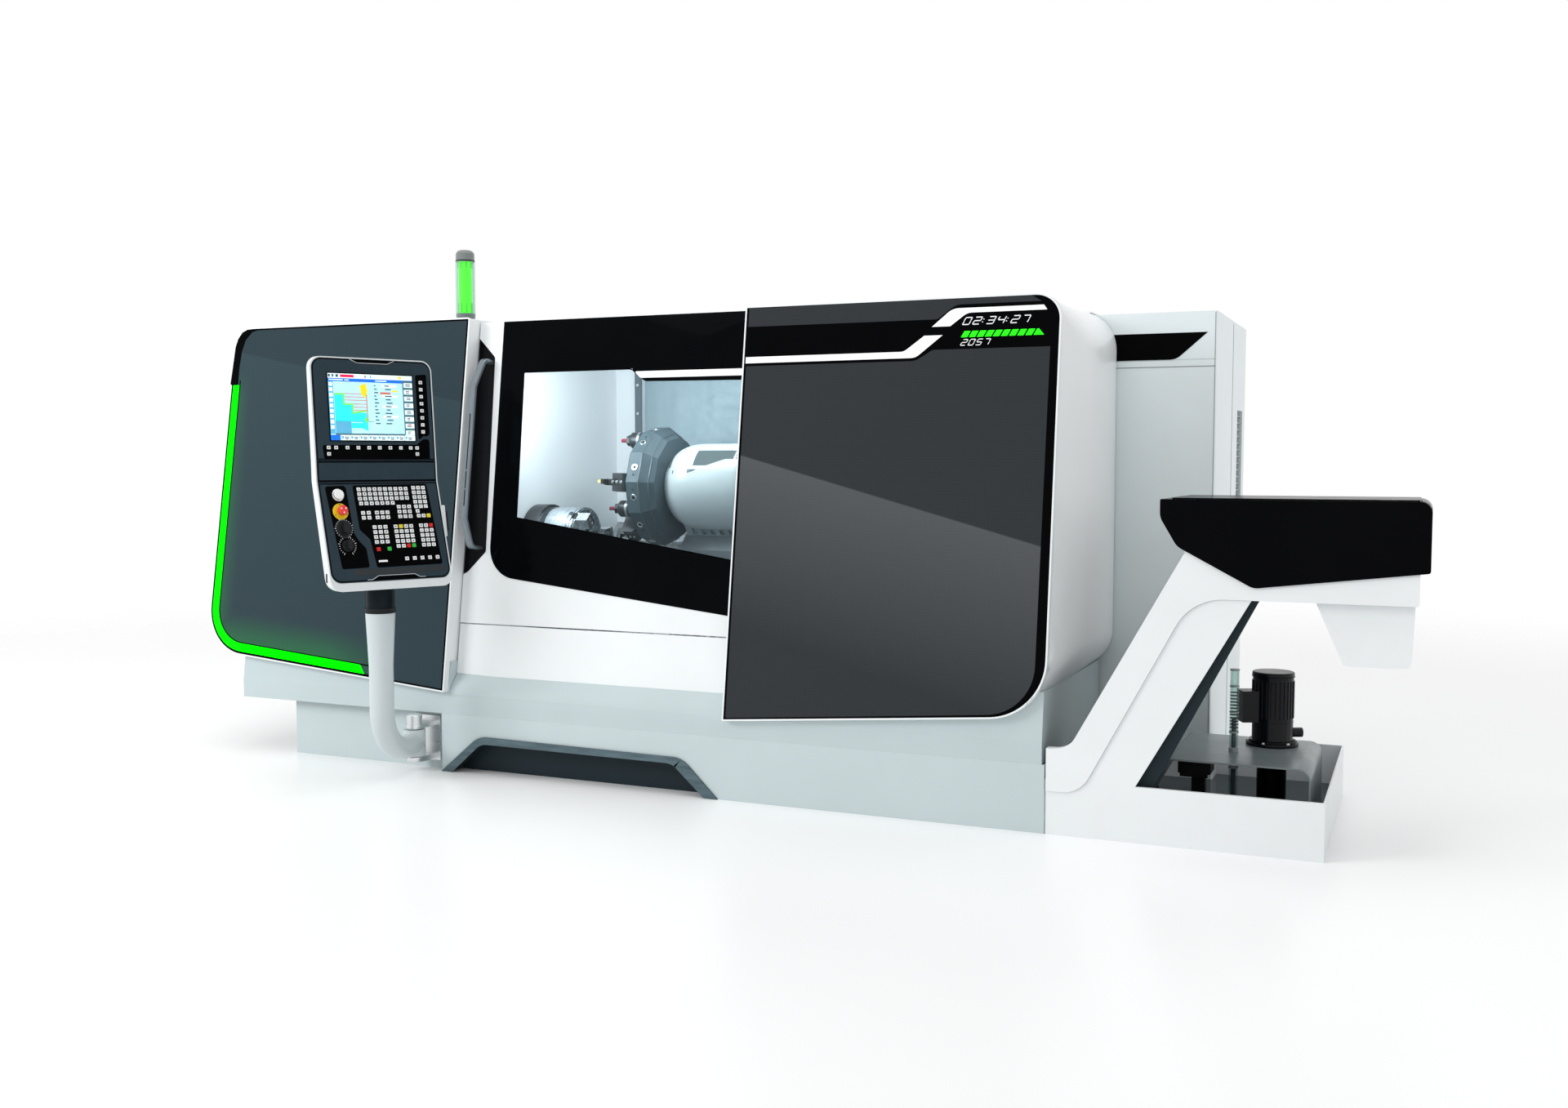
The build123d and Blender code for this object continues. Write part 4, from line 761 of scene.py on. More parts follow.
class Piece:
    """One mesh under construction, which rides on a body once done."""

    def __init__(self, name: str, body: str, finish: Finish) -> None:
        """Start an empty piece whose shapes take a finish unless told otherwise.

        Args:
            name: the piece's name.
            body: the body that it rides on.
            finish: its main finish.
        """
        self.name, self.body = name, body
        self.finishes: list[Finish] = [finish]
        self.mesh = bmesh.new()

    def slot_of(self, finish: Finish | None) -> int:
        """Number of a finish among the piece's materials.

        Args:
            finish: a finish, or None for the piece's own.

        Returns:
            The material's number.
        """
        if finish is None:
            return 0
        if finish not in self.finishes:
            self.finishes.append(finish)
        return self.finishes.index(finish)

    def join_rows(self, rows: list[list[Vector]], slot: int, loop: bool, caps: bool) -> None:
        """Skin rows of points into faces.

        Args:
            rows: rows with the same number of points.
            slot: number of the faces' material.
            loop: whether each row closes on itself.
            caps: whether the first and the last row are filled.
        """
        made = [[self.mesh.verts.new(point) for point in row] for row in rows]
        for low, high in zip(made, made[1:]):
            count = len(low)
            for i in range(count if loop else count - 1):
                j = (i + 1) % count
                self.mesh.faces.new((low[i], low[j], high[j], high[i])).material_index = slot
        if caps:
            self.mesh.faces.new(list(reversed(made[0]))).material_index = slot
            self.mesh.faces.new(made[-1]).material_index = slot

    def plate(self, outline: Outline, place: Matrix, low: float, high: float,
              finish: Finish | None = None) -> "Piece":
        """Add a flat plate.

        Args:
            outline: its closed outline in the place's millimetres.
            place: the working plane.
            low: where it starts, outward from the plane.
            high: where it ends.
            finish: its finish, or the piece's own.

        Returns:
            The piece.
        """
        rows = [[place @ Vector((x, y, level)) for x, y in outline] for level in (low, high)]
        self.join_rows(rows, self.slot_of(finish), True, True)
        return self

    def band(self, outer: Outline, inner: Outline, place: Matrix, low: float, high: float,
             finish: Finish | None = None) -> "Piece":
        """Add a closed frame between two outlines with the same number of points.

        Args:
            outer: the outer outline.
            inner: the inner outline.
            place: the working plane.
            low: where it starts, outward from the plane.
            high: where it ends.
            finish: its finish, or the piece's own.

        Returns:
            The piece.
        """
        rows = [[place @ Vector((x, y, level)) for x, y in line]
                for line, level in ((outer, low), (outer, high), (inner, high), (inner, low), (outer, low))]
        slot = self.slot_of(finish)
        verts = [[self.mesh.verts.new(p) for p in row] for row in rows[:4]]
        verts.append(verts[0])
        for a, b in zip(verts, verts[1:]):
            for i in range(len(a)):
                j = (i + 1) % len(a)
                self.mesh.faces.new((a[i], a[j], b[j], b[i])).material_index = slot
        return self

    def block(self, low: Colour, high: Colour, finish: Finish | None = None,
              place: Matrix | None = None) -> "Piece":
        """Add a block between two corners.

        Args:
            low: its lowest corner.
            high: its highest corner.
            finish: its finish, or the piece's own.
            place: its working plane, or the datum.

        Returns:
            The piece.
        """
        corners = rectangle((low[0] + high[0]) / 2, (low[1] + high[1]) / 2, high[0] - low[0],
                            high[1] - low[1])
        return self.plate(corners, place or from_above(0), low[2], high[2], finish)

    def turned(self, profile: Outline, place: Matrix, centre: Point = (0, 0), steps: int = 48,
               finish: Finish | None = None) -> "Piece":
        """Add a turned shape.

        Args:
            profile: radius and height of each point, from one end to the other.
            place: the plane that the axis is square to.
            centre: where the axis meets the plane.
            steps: sides of the turned shape.
            finish: its finish, or the piece's own.

        Returns:
            The piece.
        """
        rows = [[place @ Vector((centre[0] + max(r, 0.01) * math.cos(a),
                                 centre[1] + max(r, 0.01) * math.sin(a), h))
                 for a in (2 * math.pi * k / steps for k in range(steps))] for r, h in profile]
        self.join_rows(rows, self.slot_of(finish), True, True)
        return self

    def tube(self, path: list[Vector], radius: float, steps: int = 16,
             finish: Finish | None = None) -> "Piece":
        """Add a round bar along points of the frame.

        Args:
            path: the bar's centre line.
            radius: its radius in millimetres.
            steps: its number of sides.
            finish: its finish, or the piece's own.

        Returns:
            The piece.
        """
        rows = []
        side = None
        for i, point in enumerate(path):
            ahead = (path[min(i + 1, len(path) - 1)] - path[max(i - 1, 0)]).normalized()
            if side is None:
                side = ahead.orthogonal().normalized()
            side = (side - ahead * side.dot(ahead)).normalized()
            other = ahead.cross(side)
            rows.append([point + (side * math.cos(a) + other * math.sin(a)) * radius * MM
                         for a in (2 * math.pi * k / steps for k in range(steps))])
        self.join_rows(rows, self.slot_of(finish), True, True)
        return self

    def done(self, bevel: float = 0.0, segments: int = 2, smooth: float = 35.0) -> bpy.types.Object:
        """Turn the piece into an object on its body.

        Args:
            bevel: width of the softened edges in millimetres, 0 for none.
            segments: facets across each softened edge.
            smooth: edges flatter than this many degrees are shaded smooth.

        Returns:
            The object.
        """
        bmesh.ops.remove_doubles(self.mesh, verts=self.mesh.verts, dist=1e-6)
        bmesh.ops.recalc_face_normals(self.mesh, faces=self.mesh.faces)
        data = bpy.data.meshes.new(self.name)
        self.mesh.to_mesh(data)
        self.mesh.free()
        data.shade_smooth()
        data.set_sharp_from_angle(angle=math.radians(smooth))
        for finish in self.finishes:
            data.materials.append(finish.build())
        made = bpy.data.objects.new(self.name, data)
        bpy.context.scene.collection.objects.link(made)
        if bevel:
            soft = made.modifiers.new("soft_edges", "BEVEL")
            soft.width, soft.segments, soft.limit_method = bevel * MM, segments, "ANGLE"
            soft.angle_limit = math.radians(40)
            soft.harden_normals = True
        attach(made, self.body)
        log.info("%s on %s: %d faces", self.name, self.body, len(data.polygons))
        return made


class Skin:
    """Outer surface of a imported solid, found by rays."""

    def __init__(self, node: str) -> None:
        """Sort the solid's facets for the search.

        Args:
            node: the solid's name.
        """
        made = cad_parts[node]
        points = [made.matrix_world @ v.co for v in made.data.vertices]
        self.tree = BVHTree.FromPolygons(points, [tuple(p.vertices) for p in made.data.polygons])

    def toward_axis(self, x: float, angle: float, centre: Point) -> float:
        """Radius of the surface about an axis along x.

        Args:
            x: datum x of the ray.
            angle: angle above the front, in radians.
            centre: datum y and z of the axis.

        Returns:
            The radius in millimetres.
        """
        arm = Vector((0, -math.cos(angle), math.sin(angle)))
        middle = spot(x, *centre)
        hit = self.tree.ray_cast(middle + arm * 0.6, -arm)[0]
        return (hit - middle).length / MM if hit else 0.0


def wrap(piece: Piece, surface: Skin, centre: Point, outline: Outline, lift: float,
         finish: Finish | None = None,
         cells: int = 24) -> None:
    """Lay a thin patch over a turned solid, following its surface.

    Args:
        piece: the piece that takes the patch.
        surface: the solid's surface.
        centre: datum y and z of its axis.
        outline: lower and upper edge as x, low angle and high angle in degrees, at each x.
        lift: how far the patch stands off the surface in millimetres.
        finish: the patch's finish, or the piece's own.
        cells: facets across the patch.
    """
    rows = []
    for x, low, high in outline:
        row = []
        for k in range(cells + 1):
            angle = math.radians(low + (high - low) * k / cells)
            reach = surface.toward_axis(x, angle, centre) + lift
            row.append(spot(x, centre[0] - reach * math.cos(angle), centre[1] + reach * math.sin(angle)))
        rows.append(row)
    piece.join_rows(rows, piece.slot_of(finish), False, False)


def along(start: Point, end: Point, steps: int) -> Outline:
    """Evenly spaced points from one to another, both included."""
    return [(start[0] + (end[0] - start[0]) * k / steps, start[1] + (end[1] - start[1]) * k / steps)
            for k in range(steps + 1)]


STROKES = {
    "a": ((0, 2), (1, 2)), "b": ((1, 1), (1, 2)), "c": ((1, 0), (1, 1)), "d": ((0, 0), (1, 0)),
    "e": ((0, 0), (0, 1)), "f": ((0, 1), (0, 2)), "g": ((0, 1), (1, 1)),
}
DIGITS = {
    "0": "abcdef", "1": "bc", "2": "abged", "3": "abgcd", "4": "fgbc", "5": "afgcd", "6": "afgedc",
    "7": "abc",
    "8": "abcdefg", "9": "abcdfg",
}


def numerals(piece: Piece, text: str, place: Matrix, left: float, foot: float, size: Point, pitch: float,
             level: Point, stroke: float = 3.0, slope: float = 0.5, finish: Finish | None = None) -> None:
    """Write numbers in slanted seven-stroke figures.

    Args:
        piece: the piece that takes the strokes.
        text: figures, colons and spaces.
        place: the working plane.
        left: x of the first figure.
        foot: y of the figures' feet.
        size: width and height of a figure.
        pitch: distance between figures.
        level: where the strokes start and end, outward from the plane.
        stroke: width of a stroke.
        slope: sideways slant for each unit of height.
        finish: the figures' finish, or the piece's own.
    """
    x = left
    for sign in text:
        if sign == ":":
            for y in (0.3, 0.68):
                lean = y * size[1] * slope
                piece.plate(rectangle(x + lean - pitch * 0.12, foot + y * size[1], stroke, stroke), place,
                            *level, finish)
            x += pitch * 0.36
            continue
        for name in DIGITS.get(sign, ""):
            (c0, r0), (c1, r1) = STROKES[name]
            ends = []
            for c, r in ((c0, r0), (c1, r1)):
                y = r * size[1] / 2
                ends.append((x + c * size[0] + y * slope, foot + y))
            (ax, ay), (bx, by) = ends
            half = stroke / 2
            if ay == by:
                quad = [(ax + 0.8, ay - half), (bx - 0.8, by - half), (bx - 0.8, by + half),
                        (ax + 0.8, ay + half)]
            else:
                quad = [(ax - half, ay + 0.8), (ax + half, ay + 0.8), (bx + half, by - 0.8),
                        (bx - half, by - 0.8)]
            piece.plate(quad, place, *level, finish)
        x += pitch


def dress(node: str, finish: Finish, bevel: float = 1.0) -> bpy.types.Object:
    """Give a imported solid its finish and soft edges.

    Args:
        node: the solid's name.
        finish: its finish.
        bevel: width of the softened edges in millimetres, 0 for none.

    Returns:
        The solid's object.
    """
    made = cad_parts[node]
    made.data.materials.clear()
    made.data.materials.append(finish.build())
    weld = made.modifiers.new("joined_facets", "WELD")
    weld.merge_threshold = 1e-5
    if bevel:
        soft = made.modifiers.new("soft_edges", "BEVEL")
        soft.width, soft.segments, soft.limit_method = bevel * MM, 2, "ANGLE"
        soft.angle_limit = math.radians(40)
        soft.harden_normals = True
    log.info("%s dressed as %s", node, finish.name)
    return made


# The studio


@dataclass
class Studio:
    """Pale floor, soft lights and the camera."""

    lens: float = 33.58
    sensor: float = 36.0
    eye: Colour = (1160.0, -4751.0, 1250.0)
    turn: float = 23.93
    tip: float = -3.73
    floor_colour: Colour = (0.96, 0.962, 0.965)
    aim_height: float = 0.9
    floor_half: float = 30.0
    floor_fade: Point = (3.6, 8.5)
    world_level: float = 0.8
    key_at: tuple[float, float, float] = (-5.2, -5.4, 3.8)
    key_power: float = 235.0
    top_at: tuple[float, float, float] = (0.5, -1.0, 5.5)
    top_power: float = 90.0
    work_power: Point = (7.0, 4.0)

    def build(self) -> None:
        """Make the floor, world, lights and camera."""
        self.floor()
        self.world()
        self.lights()
        self.camera()

    def floor(self) -> None:
        """Pale floor that takes a soft shadow and fades to white away from the machine."""
        graph = Graph("studio_floor")
        graph.link(graph.blend(graph.spread(graph.noise(0.7, 3), 0.0, 1.0), self.floor_colour,
                               shade(self.floor_colour, 0.985)), "Base Color")
        graph.plain(Roughness=0.3, Specular_IOR_Level=0.3)
        reach = graph.node("ShaderNodeVectorMath", operation="LENGTH", in_0=graph.place)
        fade = graph.node("ShaderNodeMapRange", interpolation_type="SMOOTHSTEP", in_0=reach.outputs["Value"],
                          in_1=self.floor_fade[0], in_2=self.floor_fade[1], in_3=0.0, in_4=1.0)
        clear = graph.node("ShaderNodeBsdfTransparent")
        mixed = graph.node("ShaderNodeMixShader", in_0=fade.outputs[0], in_1=graph.shader.outputs[0],
                           in_2=clear.outputs[0])
        graph.tree.links.new(mixed.outputs[0], graph.tree.nodes["Material Output"].inputs[0])
        data = bpy.data.meshes.new("floor")
        side = self.floor_half
        data.from_pydata([(-side, -side, 0), (side, -side, 0), (side, side, 0), (-side, side, 0)], [],
                         [(0, 1, 2, 3)])
        data.materials.append(graph.material)
        made = bpy.data.objects.new("floor", data)
        bpy.context.scene.collection.objects.link(made)

    def world(self) -> None:
        """Even light for surfaces, and plain white where a camera or a reflection looks past them."""
        world = bpy.data.worlds.new("studio")
        bpy.context.scene.world = world
        world.use_nodes = True
        tree = world.node_tree
        back = tree.nodes["Background"]
        path = tree.nodes.new("ShaderNodeLightPath")
        seen = tree.nodes.new("ShaderNodeMath")
        seen.operation = "MAXIMUM"
        tree.links.new(path.outputs["Is Camera Ray"], seen.inputs[0])
        tree.links.new(path.outputs["Is Transmission Ray"], seen.inputs[1])
        also = tree.nodes.new("ShaderNodeMath")
        also.operation = "MAXIMUM"
        tree.links.new(seen.outputs[0], also.inputs[0])
        tree.links.new(path.outputs["Is Glossy Ray"], also.inputs[1])
        level = tree.nodes.new("ShaderNodeMapRange")
        tree.links.new(also.outputs[0], level.inputs[0])
        level.inputs[3].default_value = self.world_level
        level.inputs[4].default_value = 1.0
        back.inputs[0].default_value = (1, 1, 1, 1)
        tree.links.new(level.outputs[0], back.inputs[1])

    def lamp(self, name: str, at: Vector, aim: Vector, size: Point, power: float) -> None:
        """Add a soft area lamp.

        Args:
            name: its name.
            at: where it stands, in metres.
            aim: what it points at.
            size: its width and height in metres.
            power: its power in watts.
        """
        data = bpy.data.lights.new(name, "AREA")
        data.shape, data.size, data.size_y, data.energy = "RECTANGLE", size[0], size[1], power
        made = bpy.data.objects.new(name, data)
        made.location = at
        made.rotation_euler = (aim - at).to_track_quat("-Z", "Y").to_euler()
        made.visible_camera = False
        made.visible_glossy = name != "key"
        bpy.context.scene.collection.objects.link(made)

    def lights(self) -> None:
        """Key from the front left, a weaker one from above, and the machine's own work lamp."""
        middle = Vector((0, 0, self.aim_height))
        self.lamp("key", Vector(self.key_at), middle, (3, 2.5), self.key_power)
        self.lamp("top", Vector(self.top_at), middle, (7, 4), self.top_power)
        self.lamp("work_lamp", spot(-1600, 620, 1740), spot(-1900, 1000, 1100), (0.9, 0.2),
                  self.work_power[0])
        self.lamp("work_lamp_left", spot(-2200, 330, 1500), spot(-2100, 1300, 1200), (0.3, 0.3),
                  self.work_power[1])

    def camera(self) -> None:
        """Camera at the photograph's place and angle."""
        data = bpy.data.cameras.new("camera")
        data.lens, data.sensor_width, data.sensor_fit = self.lens, self.sensor, "HORIZONTAL"
        made = bpy.data.objects.new("camera", data)
        made.location = spot(*self.eye)
        made.rotation_euler = (math.radians(90 + self.tip), 0, math.radians(self.turn))
        bpy.context.scene.collection.objects.link(made)
        bpy.context.scene.camera = made
        bpy.context.scene.view_settings.view_transform = "Standard"


# The machine


@dataclass
class Base:
    """Plinths, apron, bed and feet."""

    finishes: dict[str, Finish] = field(default_factory=lambda: {
        "base_plinths": PLINTH, "toe_recess_trim": TRIM_STEEL, "toe_recess_pan": DARK_SHEET,
        "levelling_feet": FOOT_IRON,
        "bed_casting": BED_PAINT, "guide_rails": BRIGHT_STEEL, "lower_front_cover": APRON,
        "lower_front_panel": WHITE,
    })

    ledge_ends: tuple[float, ...] = (-2409, -1800, -1186)

    def build(self) -> None:
        """Dress the base and close its ledge."""
        for node, finish in self.finishes.items():
            dress(node, finish, 1.5)
        self.ledge()

    def ledge(self) -> None:
        """Curved sheet that closes the apron's ledge up to the panel under the door."""
        sheet = Piece("ledge_sheet", "root", APRON)
        low = [(0.1, 262), (0.0, 290), (0.6, 306), (4, 324), (12, 340), (26, 358), (44, 378), (64, 402)]
        high = [(66, 398), (46, 374), (28, 354), (14, 336), (6, 320), (2.6, 304), (2, 290), (2, 262)]
        rows = [[spot(x, y, z) for y, z in low + high] for x in self.ledge_ends]
        sheet.join_rows(rows, 0, True, True)
        sheet.done()


@dataclass
class LeftCover:
    """Grey cover over the headstock side with its light strip."""

    corners: tuple[Point, ...] = ((-3678, 428), (-2418, 322), (-2418, 1820), (-3657, 1820))
    radii: tuple[float, ...] = (205, 6, 10, 100)
    strip_end: float = -2774.0
    strip_top: float = 1590.0
    lamp_at: Point = (-2487.0, 250.0)
    board_radius: float = 27.0

    def build(self) -> None:
        """Dress the cover and add its black borders."""
        dress("left_front_panel", SLATE_LEFT, 0)
        dress("left_cabinet_shell", WHITE, 1.5)
        dress("led_strip", LED_GREEN, 0.8)
        dress("lamp_tube", CLEAR_TUBE, 0)
        place = leaning(PANEL_FACE)
        edge = rounded(on_skin(list(self.corners)), self.radii, 12)
        border = Piece("left_cover_border", "root", BLACK_LINE)
        border.band(inset(edge, 6.5), inset(edge, 13), place, -1.5, 0.6)
        self.corner_band(border)
        border.done()
        self.light_outline()
        self.signal_lamp()

    def corner_band(self, piece: Piece) -> None:
        """Black band from the light strip's top round the upper left corner, tapering along the top.

        Args:
            piece: the piece that takes the band.
        """
        outer = [(-3663, 1575), (-3658, 1640), (-3651, 1735), (-3640, 1772), (-3618, 1800), (-3590, 1812),
                 (-3520, 1813.5),
                 (-3200, 1813.5)]
        inner = [(-3200, 1811), (-3520, 1810.5), (-3562, 1800), (-3596, 1766), (-3613, 1715), (-3620, 1640),
                 (-3618, 1548)]
        piece.plate(outer + inner, skin(PANEL_FACE), -1.5, 0.7)

    def light_outline(self) -> None:
        """Black outlines on both sides of the light strip, up to its two ends."""
        place = leaning(PANEL_FACE)
        edge = rounded(on_skin(list(self.corners)), self.radii, 16)
        for name, near, far in (("light_outline_outer", 11.5, 16.5), ("light_outline_inner", 49.5, 55)):
            line = Piece(name, "root", BLACK_LINE)
            outer, inner = inset(edge, near), inset(edge, far)
            for k, first in enumerate(outer):
                last = outer[(k + 1) % len(outer)]
                start, end = self.kept_part(first, last, (self.strip_end, up_skin(self.strip_top)))
                if start < end:
                    corners = [along_line(outer, k, start), along_line(outer, k, end),
                               along_line(inner, k, end),
                               along_line(inner, k, start)]
                    line.plate(corners, place, -1.0, 0.8)
            line.done()

    @staticmethod
    def kept_part(first: Point, last: Point, limits: Point) -> Point:
        """Part of a line that stays left of and below two limits.

        Args:
            first: the line's first point.
            last: its last point.
            limits: the largest x and y.

        Returns:
            The shares of the line at which that part starts and ends, the start past the end for none.
        """
        start, end = 0.0, 1.0
        for one, other, limit in zip(first, last, limits):
            if one > limit and other > limit:
                return 1.0, 0.0
            if one > limit:
                start = max(start, (one - limit) / (one - other))
            elif other > limit:
                end = min(end, (limit - one) / (other - one))
        return start, end

    def signal_lamp(self) -> None:
        """Signal lamp's light column with its dotted boards, its grey dome and its grey foot."""
        x, y = self.lamp_at
        level = from_above(0)
        dress("signal_lamp", LAMP_GREY, 0)
        core = Piece("lamp_boards", "root", LAMP_GREEN)
        core.turned([(20, 1832), (26.5, 1834), (26.5, 2054), (20, 2056)], level, (x, y), 32)
        for side in range(8):
            angle = 2 * math.pi * side / 8
            out = Vector((math.cos(angle), math.sin(angle), 0))
            for z in (*range(1842, 1890, 8), *range(2030, 2054, 8)):
                at = spot(x, y, z) + out * self.board_radius * MM
                core.tube([at, at + out * 0.0022], 2.6, 10, LAMP_DOT)
        core.done()
        cap = Piece("lamp_dome", "root", LAMP_GREY)
        dome = [(38.4 * math.cos(a), 2060 + 39.6 * math.sin(a))
                for a in (math.radians(k * 9) for k in range(11))]
        cap.turned([(37, 2052), (38.4, 2053), *dome], level, (x, y), 40)
        cap.turned([(38.6, 2054), (39.0, 2055), (39.0, 2058), (38.6, 2059)], level, (x, y), 40, BLACK_PLASTIC)
        cap.done()
        foot = Piece("lamp_foot", "root", LAMP_GREY)
        foot.turned([(38.2, 1830), (38.8, 1831), (38.8, 1842), (38.2, 1843)], level, (x, y), 40)
        foot.done()


@dataclass
class RightCover:
    """Grey cover over the tailstock side with its printed band."""

    corners: tuple[Point, ...] = ((-1183, 298), (4, 391), (-1, 1812), (-1183, 1812))
    radii: tuple[float, ...] = (6, 205, 92, 6)

    def build(self) -> None:
        """Dress the cover and add its black border."""
        dress("right_front_panel", SLATE_RIGHT, 0)
        dress("right_end_shell", WHITE, 0)
        place = leaning(PANEL_FACE)
        edge = inset(rounded(on_skin(list(self.corners)), self.radii, 12), 6.5)
        inner = rounded(on_skin([(-1168.5, 310.5), (-37, 402), (-34, 1805), (-1168.5, 1805)]),
                        (4, 172, 60, 4), 12)
        border = Piece("right_cover_border", "root", BLACK_LINE)
        border.band(edge, inner, place, -1.5, 0.5)
        border.done()
        self.printed_band()
        self.display()

    def printed_band(self) -> None:
        """Black printed band that steps up into the display field, with its two white stripes."""
        place = skin(PANEL_FACE)
        band = Piece("cover_band", "root", BLACK_LINE)
        band.plate(rounded([(-1170, 1590), (-512, 1592), (-450, 1629), (-30, 1629), (-30, 1774),
                            (-42, 1784), (-372, 1784),
                            (-437, 1735), (-1170, 1735)], (0, 60, 20, 0, 0, 0, 60, 30, 0)), place, -1, 0.9)
        band.plate([(-105, 1805), (-68, 1783), (-40, 1783), (-63, 1799), (-88, 1805)], place, -1, 0.9)
        band.plate(rounded([(-1170, 1600), (-512, 1602), (-416, 1679), (-483, 1679), (-556, 1625),
                            (-1170, 1623)],
                           (0, 50, 0, 0, 40, 0)), place, 0.5, 1.4, PRINT_WHITE)
        band.plate(rounded([(-457, 1709), (-390, 1709), (-330, 1754), (-50, 1754), (-62, 1771), (-384, 1771)],
                           (0, 0, 50, 0, 0, 60)), place, 0.5, 1.4, PRINT_WHITE)
        band.done()

    def display(self) -> None:
        """Figures and the bar of slanted green blocks in the display field."""
        place = skin(PANEL_FACE)
        shown = Piece("display_figures", "root", PRINT_WHITE)
        numerals(shown, "02:34:27", place, -346, 1713, (23, 24), 36, (0.7, 1.6), 3.2)
        numerals(shown, "2057", place, -350, 1641, (17, 20), 27, (0.7, 1.6), 2.6)
        shown.done()
        bar = Piece("display_bar", "root", DISPLAY_GREEN)
        for k in range(10):
            x = -349 + k * 28.4
            top = (x + 12, x + 33.5) if k < 9 else (x + 12, x + 18)
            bar.plate([(x, 1669), (x + 21.5, 1669) if k < 9 else (x + 36, 1669), (top[1], 1690),
                       (top[0], 1690)], place,
                      0.7, 1.8)
        bar.done()


@dataclass
class Door:
    """Sliding door with its black glass, window and handle."""

    recess_corners: tuple[Point, ...] = ((-2411, 1737), (-2331, 1657), (-2312, 878), (-2390, 797),
                                         (-2411, 788))
    recess_floor: float = -22.6
    window_corners: tuple[Point, ...] = (
        (-2189, 1598), (-1692, 1600), (-1628, 1553), (-1150, 1549), (-1150, 861), (-2178, 1013))
    handle_x: float = -2383.0
    handle_reach: float = 61.0

    def build(self) -> None:
        """Dress the door and add its lining, stripe and handle inlay."""
        dress("door_shell", WHITE, 1.5)
        dress("door_glass", BLACK_GLASS, 0.8)
        dress("door_window", WINDOW, 0)
        dress("door_handle", HANDLE_GREY, 0)
        dress("door_rails", BRIGHT_STEEL, 0.5)
        self.recess()
        self.glass_print()
        self.handle_inlay()

    def recess(self) -> None:
        """Black lining of the handle recess, on its floor and its slanted sides."""
        lining = Piece("handle_recess_lining", "door", RECESS_BLACK)
        edge = rounded(list(self.recess_corners), (0, 19, 19, 18, 0))
        place = skin(DOOR_FACE)
        lining.plate(edge, place, self.recess_floor, self.recess_floor + 1)
        lining.band(edge, inset(edge, 1.2), place, self.recess_floor, 0.4)
        lining.done()

    def glass_print(self) -> None:
        """White stripe above the window, and the black line round it."""
        place = skin(DOOR_FACE)
        stripe = Piece("window_stripe", "door", PRINT_WHITE)
        stripe.plate(rounded([(-1650, 1561), (-1121, 1561), (-1121, 1587), (-1678, 1587)], (14, 0, 0, 4)),
                     place, 1.5, 2.7)
        stripe.done()
        tint = Piece("window_edge", "door", BLACK_LINE)
        edge = rounded(list(self.window_corners), (3, 40, 30, 3, 3, 3))
        tint.band(edge, inset(edge, 5), place, -1.0, 2.3)
        tint.done()

    def handle_inlay(self) -> None:
        """Dark slot inlay down the bow of the handle."""
        inlay = Piece("handle_inlay", "door", BLACK_PLASTIC)
        front = DOOR_FACE - self.handle_reach
        for low, high in ((1130, 1200), (1206, 1430), (1060, 1126)):
            inlay.plate(rectangle(self.handle_x, (low + high) / 2, 5, high - low, 2.4), skin(front), 7.4, 9.0)
        inlay.done()


